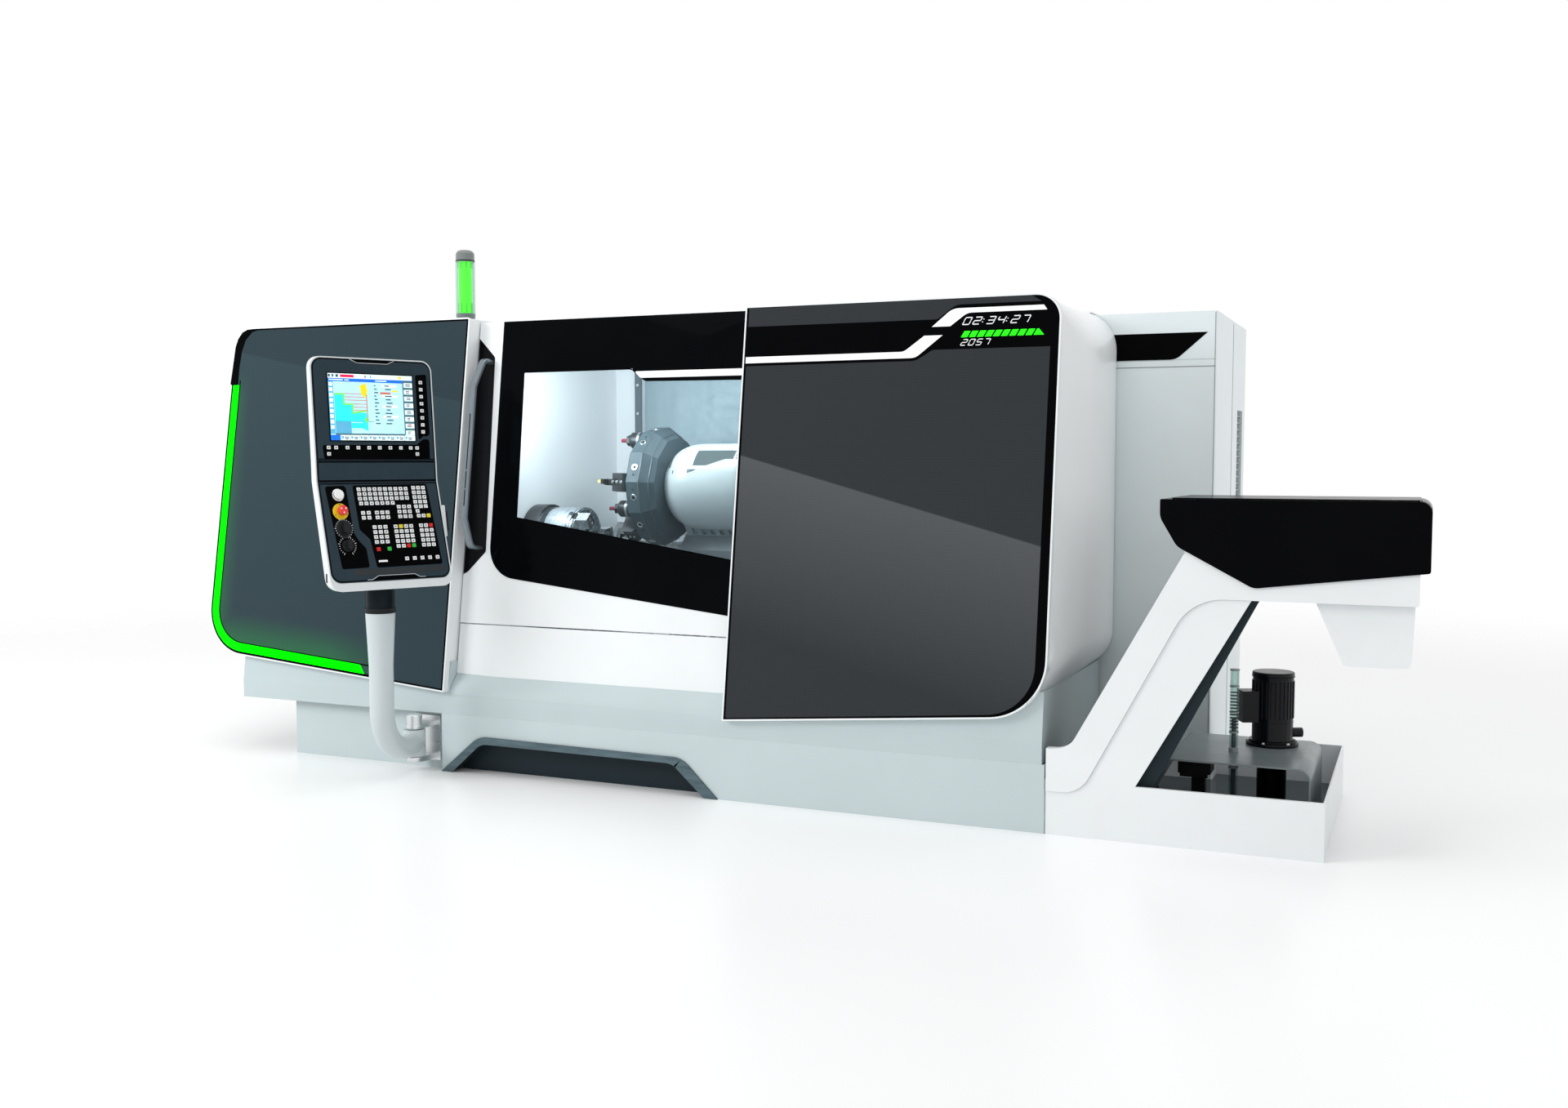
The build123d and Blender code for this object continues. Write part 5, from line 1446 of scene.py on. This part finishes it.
@dataclass
class WorkArea:
    """Spindle, turret, tailstock and the lining round them."""

    finishes: dict[str, Finish] = field(default_factory=lambda: {
        "work_area_lining": LINING_WHITE, "headstock": GREY_CAST, "spindle": DARK_STEEL,
        "chuck_body": TURNED_STEEL,
        "chuck_jaw_1": BRIGHT_STEEL, "chuck_jaw_2": BRIGHT_STEEL, "chuck_jaw_3": BRIGHT_STEEL,
        "saddle": GREY_CAST,
        "cross_slide": GREY_CAST, "turret_housing": TURRET_WHITE, "turret_disc": TURRET_DARK,
        "tool_holders": DARK_STEEL, "ball_screw": BRIGHT_STEEL, "tailstock_body": GREY_CAST,
        "tailstock_quill": BRIGHT_STEEL,
    })
    back_wall: float = 1339.0
    post_front: float = 1311.0
    disc_sides: int = 12
    disc_flat: float = 250.0
    flat_middle: float = -1942.0
    bevel_start: float = -1916.0
    bevel_fall: float = 0.75
    drill_circle: float = 220.0
    chuck_radius: float = 130.5

    def build(self) -> None:
        """Dress the work area and add the fittings that show through the window."""
        for node, finish in self.finishes.items():
            dress(node, finish, 0.8)
        self.walls()
        self.turret_cover()
        self.disc_fittings()
        self.tools()
        self.chuck_fittings()

    def walls(self) -> None:
        """Steel back sheet with its runs, and the dark post with its bolts."""
        back = upright(self.back_wall)
        sheet = Piece("back_steel_sheet", "root", LINING_STEEL)
        sheet.plate(rectangle(-1281, 1360, 1958, 830), back, 0.4, 2.0)
        sheet.done()
        post = Piece("post_cover", "root", POST_GREY)
        front = upright(self.post_front)
        post.plate(rectangle(-2281, 1396, 39, 770), front, 0.3, 1.6)
        post.plate(rectangle(-2268, 1396, 5, 770), front, 1.6, 4.0)
        for k in range(6):
            post.turned([(7, 1.5), (7, 4.6), (5.6, 5.6), (0.1, 5.6)], front, (-2284, 1060 + k * 134), 14,
                        BRIGHT_STEEL)
        post.done()

    def turret_cover(self) -> None:
        """Dark bare band and slot of the turret cover, and the small steel studs of its foot."""
        surface = Skin("turret_housing")
        marks = Piece("turret_cover_band", "cross_slide", COVER_DARK)
        upper = [(-1846, 34, 41), (-1838, 32, 47), (-1824, 31, 54), (-1700, 30, 57), (-1640, 30, 57),
                 (-1600, 35, 57),
                 (-1560, 40, 57), (-1500, 40, 57), (-1470, 40, 57)]
        wrap(marks, surface, TURRET, upper, 0.8)
        slot = [(-1850, 20, 24), (-1800, 19.5, 24.5), (-1720, 19.5, 24.5), (-1700, 21.5, 24.5),
                (-1684, 24, 24.5)]
        wrap(marks, surface, TURRET, slot, 0.8)
        marks.done()
        dark = Piece("foot_slots", "cross_slide", RECESS_BLACK)
        along_slant = Vector((0, math.cos(SLANT), math.sin(SLANT)))
        for x in range(-1810, -1550, 44):
            for h in (-192, -124):
                y, z = slant_spot(246, h)
                at = spot(x + 11, y, z)
                dark.tube([at, at - along_slant * 0.0016], 4, 12, BRIGHT_STEEL)
        dark.done()

    def disc_fittings(self) -> None:
        """Clamping screws on the flats, the machined ring and the face bolts of the tool disc."""
        rim = Piece("disc_screws", "turret", BRIGHT_STEEL)
        step = 360 / self.disc_sides
        for k in range(self.disc_sides):
            angle = math.radians(40 + step * k)
            out = Vector((0, math.cos(angle), math.sin(angle)))
            middle = spot(self.flat_middle, *TURRET) + out * self.disc_flat * MM
            flat = plane(middle, Vector((1, 0, 0)), out.cross(Vector((1, 0, 0))))
            rim.turned([(15, -1), (15, 1.2), (13.5, 2.4), (9.5, 2.4), (8.5, 0.6), (0.1, 0.6)], flat, (0, 0),
                       24)
            rim.turned([(7.5, 0.5), (7.5, 1.0), (0.1, 1.0)], flat, (0, 0), 6, BLACK_PLASTIC)
            rim.turned([(4, -1), (4, 0.8), (0.1, 0.8)], flat, (0, 34 if k % 2 else -34), 12, BLACK_PLASTIC)
        face = side_on(-1992, -1)
        rim.turned([(84, -0.5), (84, 1.5), (70, 1.5), (70, -0.5)], face, (-TURRET[0], TURRET[1]), 60)
        for k in range(self.disc_sides):
            angle = math.radians(40 + step * k)
            at = (-TURRET[0] + 140 * math.cos(angle), TURRET[1] + 140 * math.sin(angle))
            rim.turned([(8, 11), (8, 16), (6.5, 17), (0.1, 17)], side_on(-1968, -1), at, 16, DARK_STEEL)
        rim.done()
        groove = Piece("disc_band", "turret", DISC_EDGE)
        for x in (-1917, -1882):
            rows = []
            for dx, lift in ((0, 0.2), (0, 1.0), (3, 1.0), (3, 0.2)):
                flat = self.disc_flat - max(0.0, x - self.bevel_start) * self.bevel_fall
                reach = (flat + lift) / math.cos(math.radians(step / 2))
                row = []
                for k in range(self.disc_sides):
                    angle = math.radians(55 + step * k)
                    row.append(spot(x + dx, TURRET[0] + reach * math.cos(angle),
                                    TURRET[1] + reach * math.sin(angle)))
                rows.append(row)
            groove.join_rows(rows, 0, True, False)
        groove.done()

    def tools(self) -> None:
        """Red twist drills, yellow cutting tips and the clamp screws of the tool holders."""
        bits = Piece("tool_bits", "turret", DRILL_RED)
        for number, index in enumerate((2, 4, 5, 6, 8, 10)):
            turn = math.radians(index * 30 + 55 - 90)
            up = Vector((0, -math.sin(turn), math.cos(turn)))
            side = Vector((0, math.cos(turn), math.sin(turn)))
            middle = spot(0, *TURRET)

            def at(x: float, across: float, out: float) -> Vector:
                """Point of the holder by x, sideways and outward from the disc's axis."""
                return middle + Vector((x * MM, 0, 0)) + (side * across + up * out) * MM

            if number % 2:
                tip = plane(at(-2074, 0, 300), Vector((-1, 0, 0)), side)
                bits.plate([(-4, -9), (8, -7), (12, 0), (8, 7), (-4, 9)], tip, -3, 1.6, TIP_YELLOW)
                for x in (-2034, -2014, -1994):
                    head = plane(at(x, 0, 262), Vector((1, 0, 0)), side)
                    bits.turned([(6.5, -1), (6.5, 3), (5.5, 4), (0.1, 4)], head, (0, 0), 12, BRIGHT_STEEL)
            else:
                rows = []
                for k in range(21):
                    x, twist = -2052 - k * 1.7, k * 0.42
                    radius = 8.6 if k < 19 else 8.6 - (k - 18) * 3
                    row = []
                    for j in range(16):
                        a = 2 * math.pi * j / 16
                        r = radius * (0.74 if j % 8 in (0, 1, 7) else 1.0)
                        row.append(at(x, r * math.cos(a + twist),
                                      self.drill_circle + r * math.sin(a + twist)))
                    rows.append(row)
                bits.join_rows(rows, 0, True, True)
                ringed = plane(at(-1990, 0, self.drill_circle), side, up)
                bits.turned([(36.2, -6), (36.9, -5), (36.9, 5), (36.2, 6)], ringed, (0, 0), 32, BRIGHT_STEEL)
        bits.done()

    def chuck_fittings(self) -> None:
        """Dark rings of the chuck, among them its machined grooves, and its jaw screws."""
        rings = Piece("chuck_rings", "spindle", DARK_STEEL)
        middle = plane(spot(0, *SPINDLE), Vector((0, 1, 0)), Vector((0, 0, 1)))
        reach = self.chuck_radius
        for x, width in ((-2330, 22), (-2186, 5), (-2172, 4)):
            rings.turned([(reach - 2, x), (reach, x + 0.6), (reach, x + width - 0.6),
                          (reach - 2, x + width)], middle,
                         (0, 0), 72)
        rings.done()
        screws = Piece("jaw_screws", "spindle", BRIGHT_STEEL)
        for degrees in (70, 190, 310):
            angle = math.radians(degrees)
            at = (118 * math.cos(angle), 118 * math.sin(angle))
            screws.turned([(7, -2166), (7, -2163), (5.5, -2162), (0.1, -2162)], middle, at, 12)
        screws.done()


@dataclass
class ControlPanel:
    """Bent control panel on its swivel arm."""

    upper: Matrix | None = None
    middle: Matrix | None = None
    lower: Matrix | None = None
    stop_at: Point = (-172, 1053)
    start_at: Point = (-174, 1113)
    feed_at: Point = (-168, 990)
    speed_at: Point = (-163, 927)
    face_half: float = 241.0
    display_corner: Point = (-183.5, 1568.0)

    finishes: dict[str, Finish] = field(default_factory=lambda: {
        "arm_bracket": SILVER, "panel_arm": ARM_PAINT, "arm_collar": COLLAR_DARK,
        "panel_housing": PANEL_SILVER,
        "panel_face": PANEL_SLATE, "key_caps": KEY_WHITE, "estop_button": STOP_RED,
        "start_button": BUTTON_WHITE,
        "feed_knob": BLACK_PLASTIC, "speed_knob": BLACK_PLASTIC, "panel_screen": Screen.PAGE.finish(),
    })

    def build(self) -> None:
        """Dress the panel and lay out its fields, marks, screen and fittings."""
        for node, finish in self.finishes.items():
            dress(node, finish, 0.4)
        self.upper, self.middle, self.lower = (
            panel_face(a, b) for a, b in zip(PANEL_FOLDS, PANEL_FOLDS[1:]))
        self.fields()
        self.key_marks()
        self.screen()
        self.controls()
        self.fittings()

    def fields(self) -> None:
        """Black key fields, the dark outline of the face, the seams at the folds and the two notches."""
        face = Piece("panel_fields", "panel", BLACK_LINE)
        up, low = self.upper, self.lower
        face.plate(rounded([(176, 1572), (223, 1577), (224, 1345), (214, 1337), (196, 1337), (184, 1326),
                            (176, 1326)],
                           (6, 8, 4, 4, 4, 3, 3)), up, 1.0, 2.5)
        face.plate(rounded([(-217, 1300), (166, 1304), (184, 1317), (196, 1325), (214, 1325), (221, 1318),
                            (220, 1248),
                            (-212, 1248)], (8, 5, 5, 4, 5, 3, 8, 8)), up, 1.0, 2.5)
        face.plate(rounded([(-219, 1147), (-145, 1148), (-137, 1140), (-131, 973), (-116, 945), (-91, 915),
                            (-88, 845),
                            (-196, 843)], (10, 4, 8, 12, 12, 12, 8, 8)), low, 1.0, 2.5)
        face.plate(rounded([(-110, 1149), (196, 1152), (214, 845), (-58, 843), (-70, 948), (-106, 985)],
                           (8, 10, 8, 8, 14, 14)), low, 1.0, 2.5)
        face.plate(rectangle(0, 1241.5, 482, 3), up, 1.4, 2.6)
        face.plate(rectangle(0, 1163.5, 482, 3), low, 1.4, 2.6)
        half = self.face_half
        edge = rounded([(-half, 1246), (half, 1246), (half, 1623), (-half, 1623)], (0, 0, 37, 37), 10)
        face.band(edge, inset(edge, 4), up, 1.0, 2.4)
        edge = rounded([(-half, 796), (half, 796), (half, 1158), (-half, 1158)], (37, 37, 0, 0), 10)
        face.band(edge, inset(edge, 4), low, 1.0, 2.4)
        edge = [(-half, 1166), (half, 1166), (half, 1239), (-half, 1239)]
        face.band(edge, inset(edge, 4), self.middle, 1.0, 2.3)
        face.plate([(-90, 1623), (-62, 1611), (60, 1611), (88, 1623)], up, 1.0, 2.6)
        face.plate([(-84, 796), (-56, 812), (88, 812), (112, 796)], low, 1.0, 2.6)
        face.done()
        lines = Piece("panel_lines", "panel", PANEL_LINE)
        for place, points in ((up, [(-92, 1623), (-63, 1610), (61, 1610), (90, 1623)]),
                              (low, [(-104, 800), (-84, 800), (-58, 813), (90, 813), (112, 801),
                                     (134, 801)])):
            for (x0, z0), (x1, z1) in zip(points, points[1:]):
                along_x, along_z = x1 - x0, z1 - z0
                length = math.hypot(along_x, along_z)
                nx, nz = -along_z / length, along_x / length
                lines.plate([(x0 - nx, z0 - nz), (x1 - nx, z1 - nz), (x1 + nx, z1 + nz),
                             (x0 + nx, z0 + nz)], place,
                            1.5, 3.0)
        lines.done()
        bar = Piece("palm_bar", "panel", PANEL_GROOVE)
        bar.plate(rounded([(-158, 840), (222, 838), (224, 818), (-150, 816)], (4,) * 4), low, 1.2, 2.6)
        bar.done(0.6)

    def key_marks(self) -> None:
        """Small dark marks on the key caps, and the coloured caps."""
        groups = (
            (-88, 1134, 10, 3, 21.4, 17.7), (-86, 1081, 7, 1, 21.4, 17.7), (137, 1137, 3, 5, 20.8, 17.8),
            (141, 1048, 1, 1, 20.8, 17.8), (143, 1030, 3, 1, 20.8, 17.8), (65, 1066, 3, 3, 21.5, 18.4),
            (-84, 1046, 2, 2, 22.8, 18.2), (-28, 1046, 3, 2, 21.5, 18.2), (-46, 992, 3, 4, 22.0, 18.4),
            (-43, 910, 2, 1, 44.0, 18.4), (40, 992, 4, 5, 21.4, 18.3), (146, 993, 3, 5, 21.0, 18.4),
            (67, 871, 5, 1, 32.1, 18.4),
        )
        upper_groups = (
            (196, 1544.5, 1, 8, 20.0, 27.3), (-194, 1291, 1, 2, 28.0, 23.5), (-165, 1291, 1, 1, 28.0, 23.5),
            (-120, 1291, 6, 1, 43.5, 23.5), (139, 1291, 1, 1, 28.0, 23.5), (166, 1291, 1, 2, 28.0, 23.5),
        )
        coloured = {(184, 1030): KEY_YELLOW, (61, 992): KEY_YELLOW, (188, 993): KEY_RED, (82, 918): KEY_RED,
                    (104, 918): KEY_GREEN, (-43, 910): KEY_RED, (1, 910): KEY_GREEN}
        marks = Piece("key_marks", "panel", LEGEND)
        caps = Piece("coloured_keys", "panel", KEY_YELLOW)
        serial = 0
        for place, size, table in ((self.lower, 15.0, groups), (self.upper, 14.0, upper_groups)):
            for x0, z0, columns, rows, x_pitch, z_pitch in table:
                for column in range(columns):
                    for row in range(rows):
                        x, z = x0 + column * x_pitch, z0 - row * z_pitch
                        serial += 1
                        finish = None
                        for (cx, cz), colour in coloured.items():
                            if place is self.lower and abs(cx - x) < 6 and abs(cz - z) < 6:
                                finish = colour
                        if finish:
                            caps.plate(rectangle(x, z, size + 0.4, size * 0.9 + 0.4, 1.2), place, 2.6, 5.6,
                                       finish)
                            continue
                        self.mark(marks, place, x, z, serial)
        marks.done()
        caps.done(0.4)
        dash = Piece("field_label", "panel", PRINT_WHITE)
        dash.plate(rectangle(-31, 866, 36, 7), self.lower, 2.4, 2.9)
        dash.plate(rectangle(-172, 1024, 22, 5), self.lower, 2.4, 2.9)
        dash.done()

    def mark(self, marks: Piece, place: Matrix, x: float, z: float, serial: int) -> None:
        """Draw one of five plain marks on a key cap.

        Args:
            marks: the piece that takes it.
            place: the key's plane.
            x: x of the key.
            z: height of the key.
            serial: number of the key, which picks the mark.
        """
        level = (4.9, 5.5)
        kind = serial * 7 % 5
        if kind == 0:
            marks.plate(rectangle(x, z, 5, 4.4), place, *level)
        elif kind == 1:
            marks.plate(ring(x, z, 2.4, 12), place, *level)
        elif kind == 2:
            marks.plate([(x - 2.6, z - 2.4), (x + 2.6, z - 2.4), (x, z + 2.6)], place, *level)
        elif kind == 3:
            for dz in (-1.8, 1.4):
                marks.plate(rectangle(x, z + dz, 6, 1.5), place, *level)
        else:
            marks.plate(rectangle(x - 1.8, z, 1.5, 5), place, *level)
            marks.plate(rectangle(x + 1.8, z + 1, 2.4, 2.4), place, *level)

    def screen(self) -> None:
        """Lit display: title bars, the turned part with its cuts, value columns and soft keys."""
        left, top = self.display_corner

        def add(colour: Screen, points: Outline, level: float) -> None:
            """Add a patch by its corners in display units, 344 wide and 250 high from the upper left."""
            shown.plate([(left + x, top - y) for x, y in points], self.upper, 4.2, level, colour.finish())

        def bar(colour: Screen, x0: float, y0: float, x1: float, y1: float, level: float = 4.8) -> None:
            """Add an upright rectangle in display units."""
            add(colour, [(x0, y1), (x1, y1), (x1, y0), (x0, y0)], level)

        shown = Piece("display_picture", "panel", Screen.PAGE.finish())
        bar(Screen.BAR, 0, 0, 344, 18)
        for x0, x1, colour in ((2, 10, Screen.INK), (16, 24, Screen.GREY), (32, 42, Screen.INK),
                               (50, 104, Screen.MARK),
                               (148, 152, Screen.INK), (170, 174, Screen.SHADOW), (286, 298, Screen.TOOL)):
            bar(colour, x0, 4, x1, 14, 5.0)
        bar(Screen.TITLE, 0, 18, 344, 30)
        for x0, x1 in ((4, 60), (66, 84), (190, 236)):
            bar(Screen.BAR, x0, 22, x1, 26, 5.0)
        bar(Screen.SHADOW, 0, 30, 20, 226)
        for k in range(9):
            bar(Screen.BAR, 3, 34 + k * 20, 17, 48 + k * 20, 5.0)
        add(Screen.PART, [(22, 180), (22, 74), (58, 74), (58, 112), (92, 112), (92, 146), (150, 146),
                          (150, 180)], 4.9)
        add(Screen.CONTOUR, [(22, 80), (22, 74), (62, 74), (62, 112), (96, 112), (96, 144), (150, 134),
                             (152, 140),
                             (98, 150), (90, 150), (90, 118), (56, 118), (56, 80)], 5.1)
        for y in (74, 86, 98, 112, 124, 136):
            bar(Screen.CUT, 62 if y < 110 else 96, y, 152, y + 2, 5.2)
        bar(Screen.CUT, 150, 74, 153, 176, 5.2)
        add(Screen.TOOL, [(126, 44), (150, 34), (156, 62), (146, 90), (132, 78)], 5.3)
        bar(Screen.SHADOW, 22, 180, 84, 224)
        add(Screen.PART, [(84, 184), (128, 184), (152, 170), (152, 214), (128, 204), (84, 204)], 4.9)
        add(Screen.CONTOUR, [(138, 172), (146, 162), (156, 172), (146, 184)], 5.2)
        bar(Screen.INK, 22, 178, 176, 179, 5.0)
        for row in range(12):
            y = 40 + row * 13
            bar(Screen.INK, 184, y, 190 + row * 5 % 14, y + 4, 5.0)
            bar(Screen.INK, 226 + row * 3 % 8, y, 246 + row * 7 % 12, y + 4, 5.0)
            if row % 3 == 0:
                bar(Screen.BAR, 214, y - 3, 278, y + 7, 4.9)
        bar(Screen.CUT, 208, 66, 250, 74, 5.1)
        bar(Screen.TOOL, 256, 58, 280, 64, 5.1)
        bar(Screen.GREY, 302, 20, 306, 226, 4.9)
        for k in range(8):
            bar(Screen.GREY, 306, 20 + k * 26, 344, 28 + k * 26, 4.9)
            bar(Screen.BAR, 308, 28 + k * 26, 343, 45 + k * 26, 5.0)
            for line in range(2):
                bar(Screen.INK, 314 + k % 3, 32 + k * 26 + line * 6, 334 - k * 5 % 9,
                    35 + k * 26 + line * 6, 5.1)
        bar(Screen.MARK, 322, 186, 328, 191, 5.2)
        bar(Screen.CONTOUR, 322, 212, 328, 217, 5.2)
        bar(Screen.GREY, 20, 224, 302, 230, 4.9)
        bar(Screen.BAR, 0, 230, 344, 250)
        bar(Screen.TITLE, 0, 230, 38, 250, 5.0)
        for k in range(8):
            x = 44 + k * 37
            bar(Screen.SHADOW, x, 234, x + 7, 243, 5.1)
            bar(Screen.INK, x + 11, 237, x + 28, 240, 5.1)
            bar(Screen.INK, x + 13, 243, x + 26, 246, 5.1)
            bar(Screen.GREY, x - 4, 230, x - 3, 250, 5.1)
        shown.done()
        bezel = Piece("display_bezel", "panel", BLACK_LINE)
        frame_edge = rectangle(-11.5, 1443, 350, 256, 2)
        bezel.band(frame_edge, inset(frame_edge, 3.5), self.upper, 1.5, 4.9)
        bezel.done()

    def controls(self) -> None:
        """Rings, scales and guards round the buttons and knobs, and the details on their heads."""
        low = self.lower
        stop, start, feed, speed = self.stop_at, self.start_at, self.feed_at, self.speed_at
        rings = Piece("stop_ring", "panel", STOP_YELLOW)
        rings.turned([(12, 2.2), (30, 2.2), (30, 4.5), (28, 6.0), (12, 6.0)], low, stop, 48)
        rings.turned([(12, 2), (23, 2), (23, 9), (21, 10.5), (12, 10.5)], low, start, 40, SILVER)
        for k in range(3):
            a = math.radians(90 + 120 * k)
            at = (stop[0] + 25.5 * math.cos(a), stop[1] + 25.5 * math.sin(a))
            rings.turned([(2.2, 5.8), (2.2, 6.5), (0.1, 6.5)], low, at, 10, LEGEND)
        rings.done()
        scales = Piece("knob_scales", "panel", PANEL_GROOVE)
        scales.turned([(14, 2.2), (35, 2.2), (34, 4.6), (30, 5.2), (14, 5.2)], low, feed, 48)
        for centre, inner, outer, count in ((feed, 31, 34, 20), (speed, 29, 34, 21)):
            for k in range(count):
                a = math.radians(-60 + 300 * k / (count - 1))
                dx, dz = math.cos(a), math.sin(a)
                size = outer if k % 5 else outer + 3
                foot, top = (4.8, 5.6) if centre is feed else (2.4, 3.0)
                scales.plate([(centre[0] + dx * inner - dz * 0.7, centre[1] + dz * inner + dx * 0.7),
                              (centre[0] + dx * inner + dz * 0.7, centre[1] + dz * inner - dx * 0.7),
                              (centre[0] + dx * size + dz * 0.7, centre[1] + dz * size - dx * 0.7),
                              (centre[0] + dx * size - dz * 0.7, centre[1] + dz * size + dx * 0.7)], low,
                             foot, top, PRINT_WHITE)
        scales.done()
        arrows = Piece("stop_arrows", "estop", STOP_WHITE)
        for k in range(3):
            a = math.radians(30 + 120 * k)
            cos, sin = math.cos(a), math.sin(a)
            arrow = [(7, -2), (10, -2), (10, -5), (14, 0), (10, 5), (10, 2), (7, 2)]
            turned = [(stop[0] + x * cos - y * sin * 0.8, stop[1] + x * sin + y * cos * 0.8)
                      for x, y in arrow]
            arrows.plate(turned, low, 33.4, 34.3)
        arrows.done()

    def fittings(self) -> None:
        """Dark oval in the panel's side, the small grip at its right, and the dark band of the collar."""
        side = panel_side(-248)
        oval = Piece("panel_side_oval", "panel", BLACK_PLASTIC)
        oval.plate(rectangle(-66, 812, 11, 34, 5.4), side, -1.0, 0.6)
        for z in (800, 824):
            oval.turned([(2.5, 0.4), (2.5, 1.2), (0.1, 1.2)], side, (-66, z), 10, BRIGHT_STEEL)
        oval.done()
        grip = Piece("panel_side_grip", "panel", PANEL_SILVER)
        place = panel_side(254)
        grip.plate(rounded([(-34, 946), (-8, 946), (8, 1068), (-14, 1068)], (6, 6, 6, 6)), place, -2, 13)
        grip.plate(rounded([(-26, 968), (-10, 968), (0, 1046), (-12, 1046)], (4, 4, 4, 4)), place, 12, 24,
                   BLACK_PLASTIC)
        for z in (956, 1058):
            grip.turned([(4, 12.5), (4, 14.6), (0.1, 14.6)], place, (-20 + (z - 956) * 0.14, z), 12,
                        BRIGHT_STEEL)
        grip.done(1.2)
        collar = Piece("collar_band", "panel", BLACK_PLASTIC)
        collar.turned([(57.1, 664.6), (58, 665), (58, 683), (57.1, 683.6)], from_above(0), MAST, 48)
        collar.done()


@dataclass
class Enclosure:
    """Roof, back and the tall cabinets."""

    finishes: dict[str, Finish] = field(default_factory=lambda: {
        "roof_cover": WHITE, "rear_cover": CABINET, "end_cabinet": CABINET, "electrical_cabinet": CABINET,
        "cabinet_door": CABINET, "cooling_unit": VENT_GREY,
    })
    cabinet_front: float = 909.0
    cabinet_side: float = 410.0

    def build(self) -> None:
        """Dress the enclosure and add the cabinet's print, seams and fittings."""
        for node, finish in self.finishes.items():
            dress(node, finish, 1.5)
        front = upright(self.cabinet_front)
        zone = Piece("cabinet_print", "root", BLACK_LINE)
        zone.plate(rounded([(6, 1722), (6, 1622), (262, 1622), (377, 1722)], (0, 0, 60, 0)), front, -0.5, 0.8)
        zone.done()
        seams = Piece("cabinet_seams", "root", SEAM_GREY)
        seams.plate(rectangle(206, 1595, 400, 3.4), front, -0.5, 0.7)
        seams.plate(rectangle(404, 900, 2.6, 1790), front, -0.5, 0.7)
        side = side_on(self.cabinet_side)
        seams.plate(rectangle(1391, 900, 4, 1780), side, -0.5, 0.7)
        seams.plate(rectangle(1392, 620, 16, 46, 4), side, -0.5, 1.6)
        seams.done()
        back = Piece("rear_fittings", "root", SEAM_GREY)
        for x in (-2100, -1500, -900):
            for z in (500, 1700):
                back.turned([(9, -1), (9, 2.6), (7, 4), (0.1, 4)], from_behind(REAR), (-x, z), 20,
                            BRIGHT_STEEL)
        back.done()


@dataclass
class Conveyor:
    """Chip conveyor, coolant tank and pump."""

    finishes: dict[str, Finish] = field(default_factory=lambda: {
        "conveyor_front_cover": WHITE, "conveyor_casing": DARK_SHEET, "conveyor_hood": HOOD_BLACK,
        "discharge_chute": WHITE, "coolant_tank": WHITE, "tank_bridge": VENT_GREY, "coolant_pump": PUMP_BLACK,
        "level_tube": CLEAR_TUBE,
    })
    tube_at: Point = (556, 413)
    pump_at: Point = (664, 600)

    def build(self) -> None:
        """Dress the conveyor and tank and add their small fittings."""
        for node, finish in self.finishes.items():
            dress(node, finish, 1.0)
        self.tube_fittings()
        self.pump_fittings()
        self.tank_floor()

    def tube_fittings(self) -> None:
        """Bands, coolant column and scale of the clear level tube."""
        level = from_above(0)
        at = self.tube_at
        parts = Piece("tube_bands", "root", TUBE_GREY)
        for low, high in ((527, 533), (470, 476), (382, 386), (312, 318), (238, 262), (190, 214)):
            parts.turned([(15.1, low), (16.2, low + 0.8), (16.2, high - 0.8), (15.1, high)], level, at, 28)
        for k in range(12):
            parts.turned([(15.05, 330 + k * 11), (15.4, 330.6 + k * 11), (15.05, 331.2 + k * 11)], level,
                         at, 24, LEGEND)
        parts.turned([(0.1, 20), (8, 20), (8, 360), (0.1, 364)], level, at, 20, COOLANT)
        parts.done()

    def pump_fittings(self) -> None:
        """Cover rings, bolts and ribs of the pump."""
        level = from_above(0)
        at = self.pump_at
        parts = Piece("pump_rings", "root", PUMP_BLACK)
        for low, high, reach in ((258.5, 268, 78), (488, 492.5, 72.5), (330, 333, 70.2)):
            parts.turned([(reach - 5, low), (reach, low + 1), (reach, high - 1), (reach - 5, high)], level,
                         at, 56)
        for k in range(28):
            a = 2 * math.pi * k / 28
            out = Vector((math.cos(a), math.sin(a), 0))
            base = spot(at[0], at[1], 345) + out * 0.0695
            parts.tube([base, base + Vector((0, 0, 0.13))], 2.2, 8)
        for k in range(6):
            a = math.radians(15 + 60 * k)
            parts.turned([(6.5, 258), (6.5, 263.5), (5, 264.5), (0.1, 264.5)], level,
                         (at[0] + 81 * math.cos(a), at[1] + 81 * math.sin(a)), 6, BRIGHT_STEEL)
        parts.done()

    def tank_floor(self) -> None:
        """Dark coolant film on the tank floor, with the strainer boxes under the bridge."""
        film = Piece("tank_coolant", "root", COOLANT)
        film.plate(rectangle(440, 511, 852, 984), from_above(0), 12, 40)
        film.done()
        boxes = Piece("strainer_boxes", "root", BLACK_PLASTIC)
        boxes.block((372, 400, 160), (482, 505, 200))
        boxes.block((380, 392, 150), (474, 402, 192))
        boxes.block((404, 505, 40), (450, 545, 185))
        boxes.done(2.0)


def main() -> None:
    """Build the studio and dress the machine, one sub-assembly after another."""
    logging.basicConfig(level=logging.INFO, format="%(message)s")
    Studio().build()
    for assembly in (Base(), LeftCover(), RightCover(), Door(), WorkArea(), ControlPanel(), Enclosure(),
                     Conveyor()):
        assembly.build()
        log.info("%s built", type(assembly).__name__)


if __name__ == "__main__":
    main()
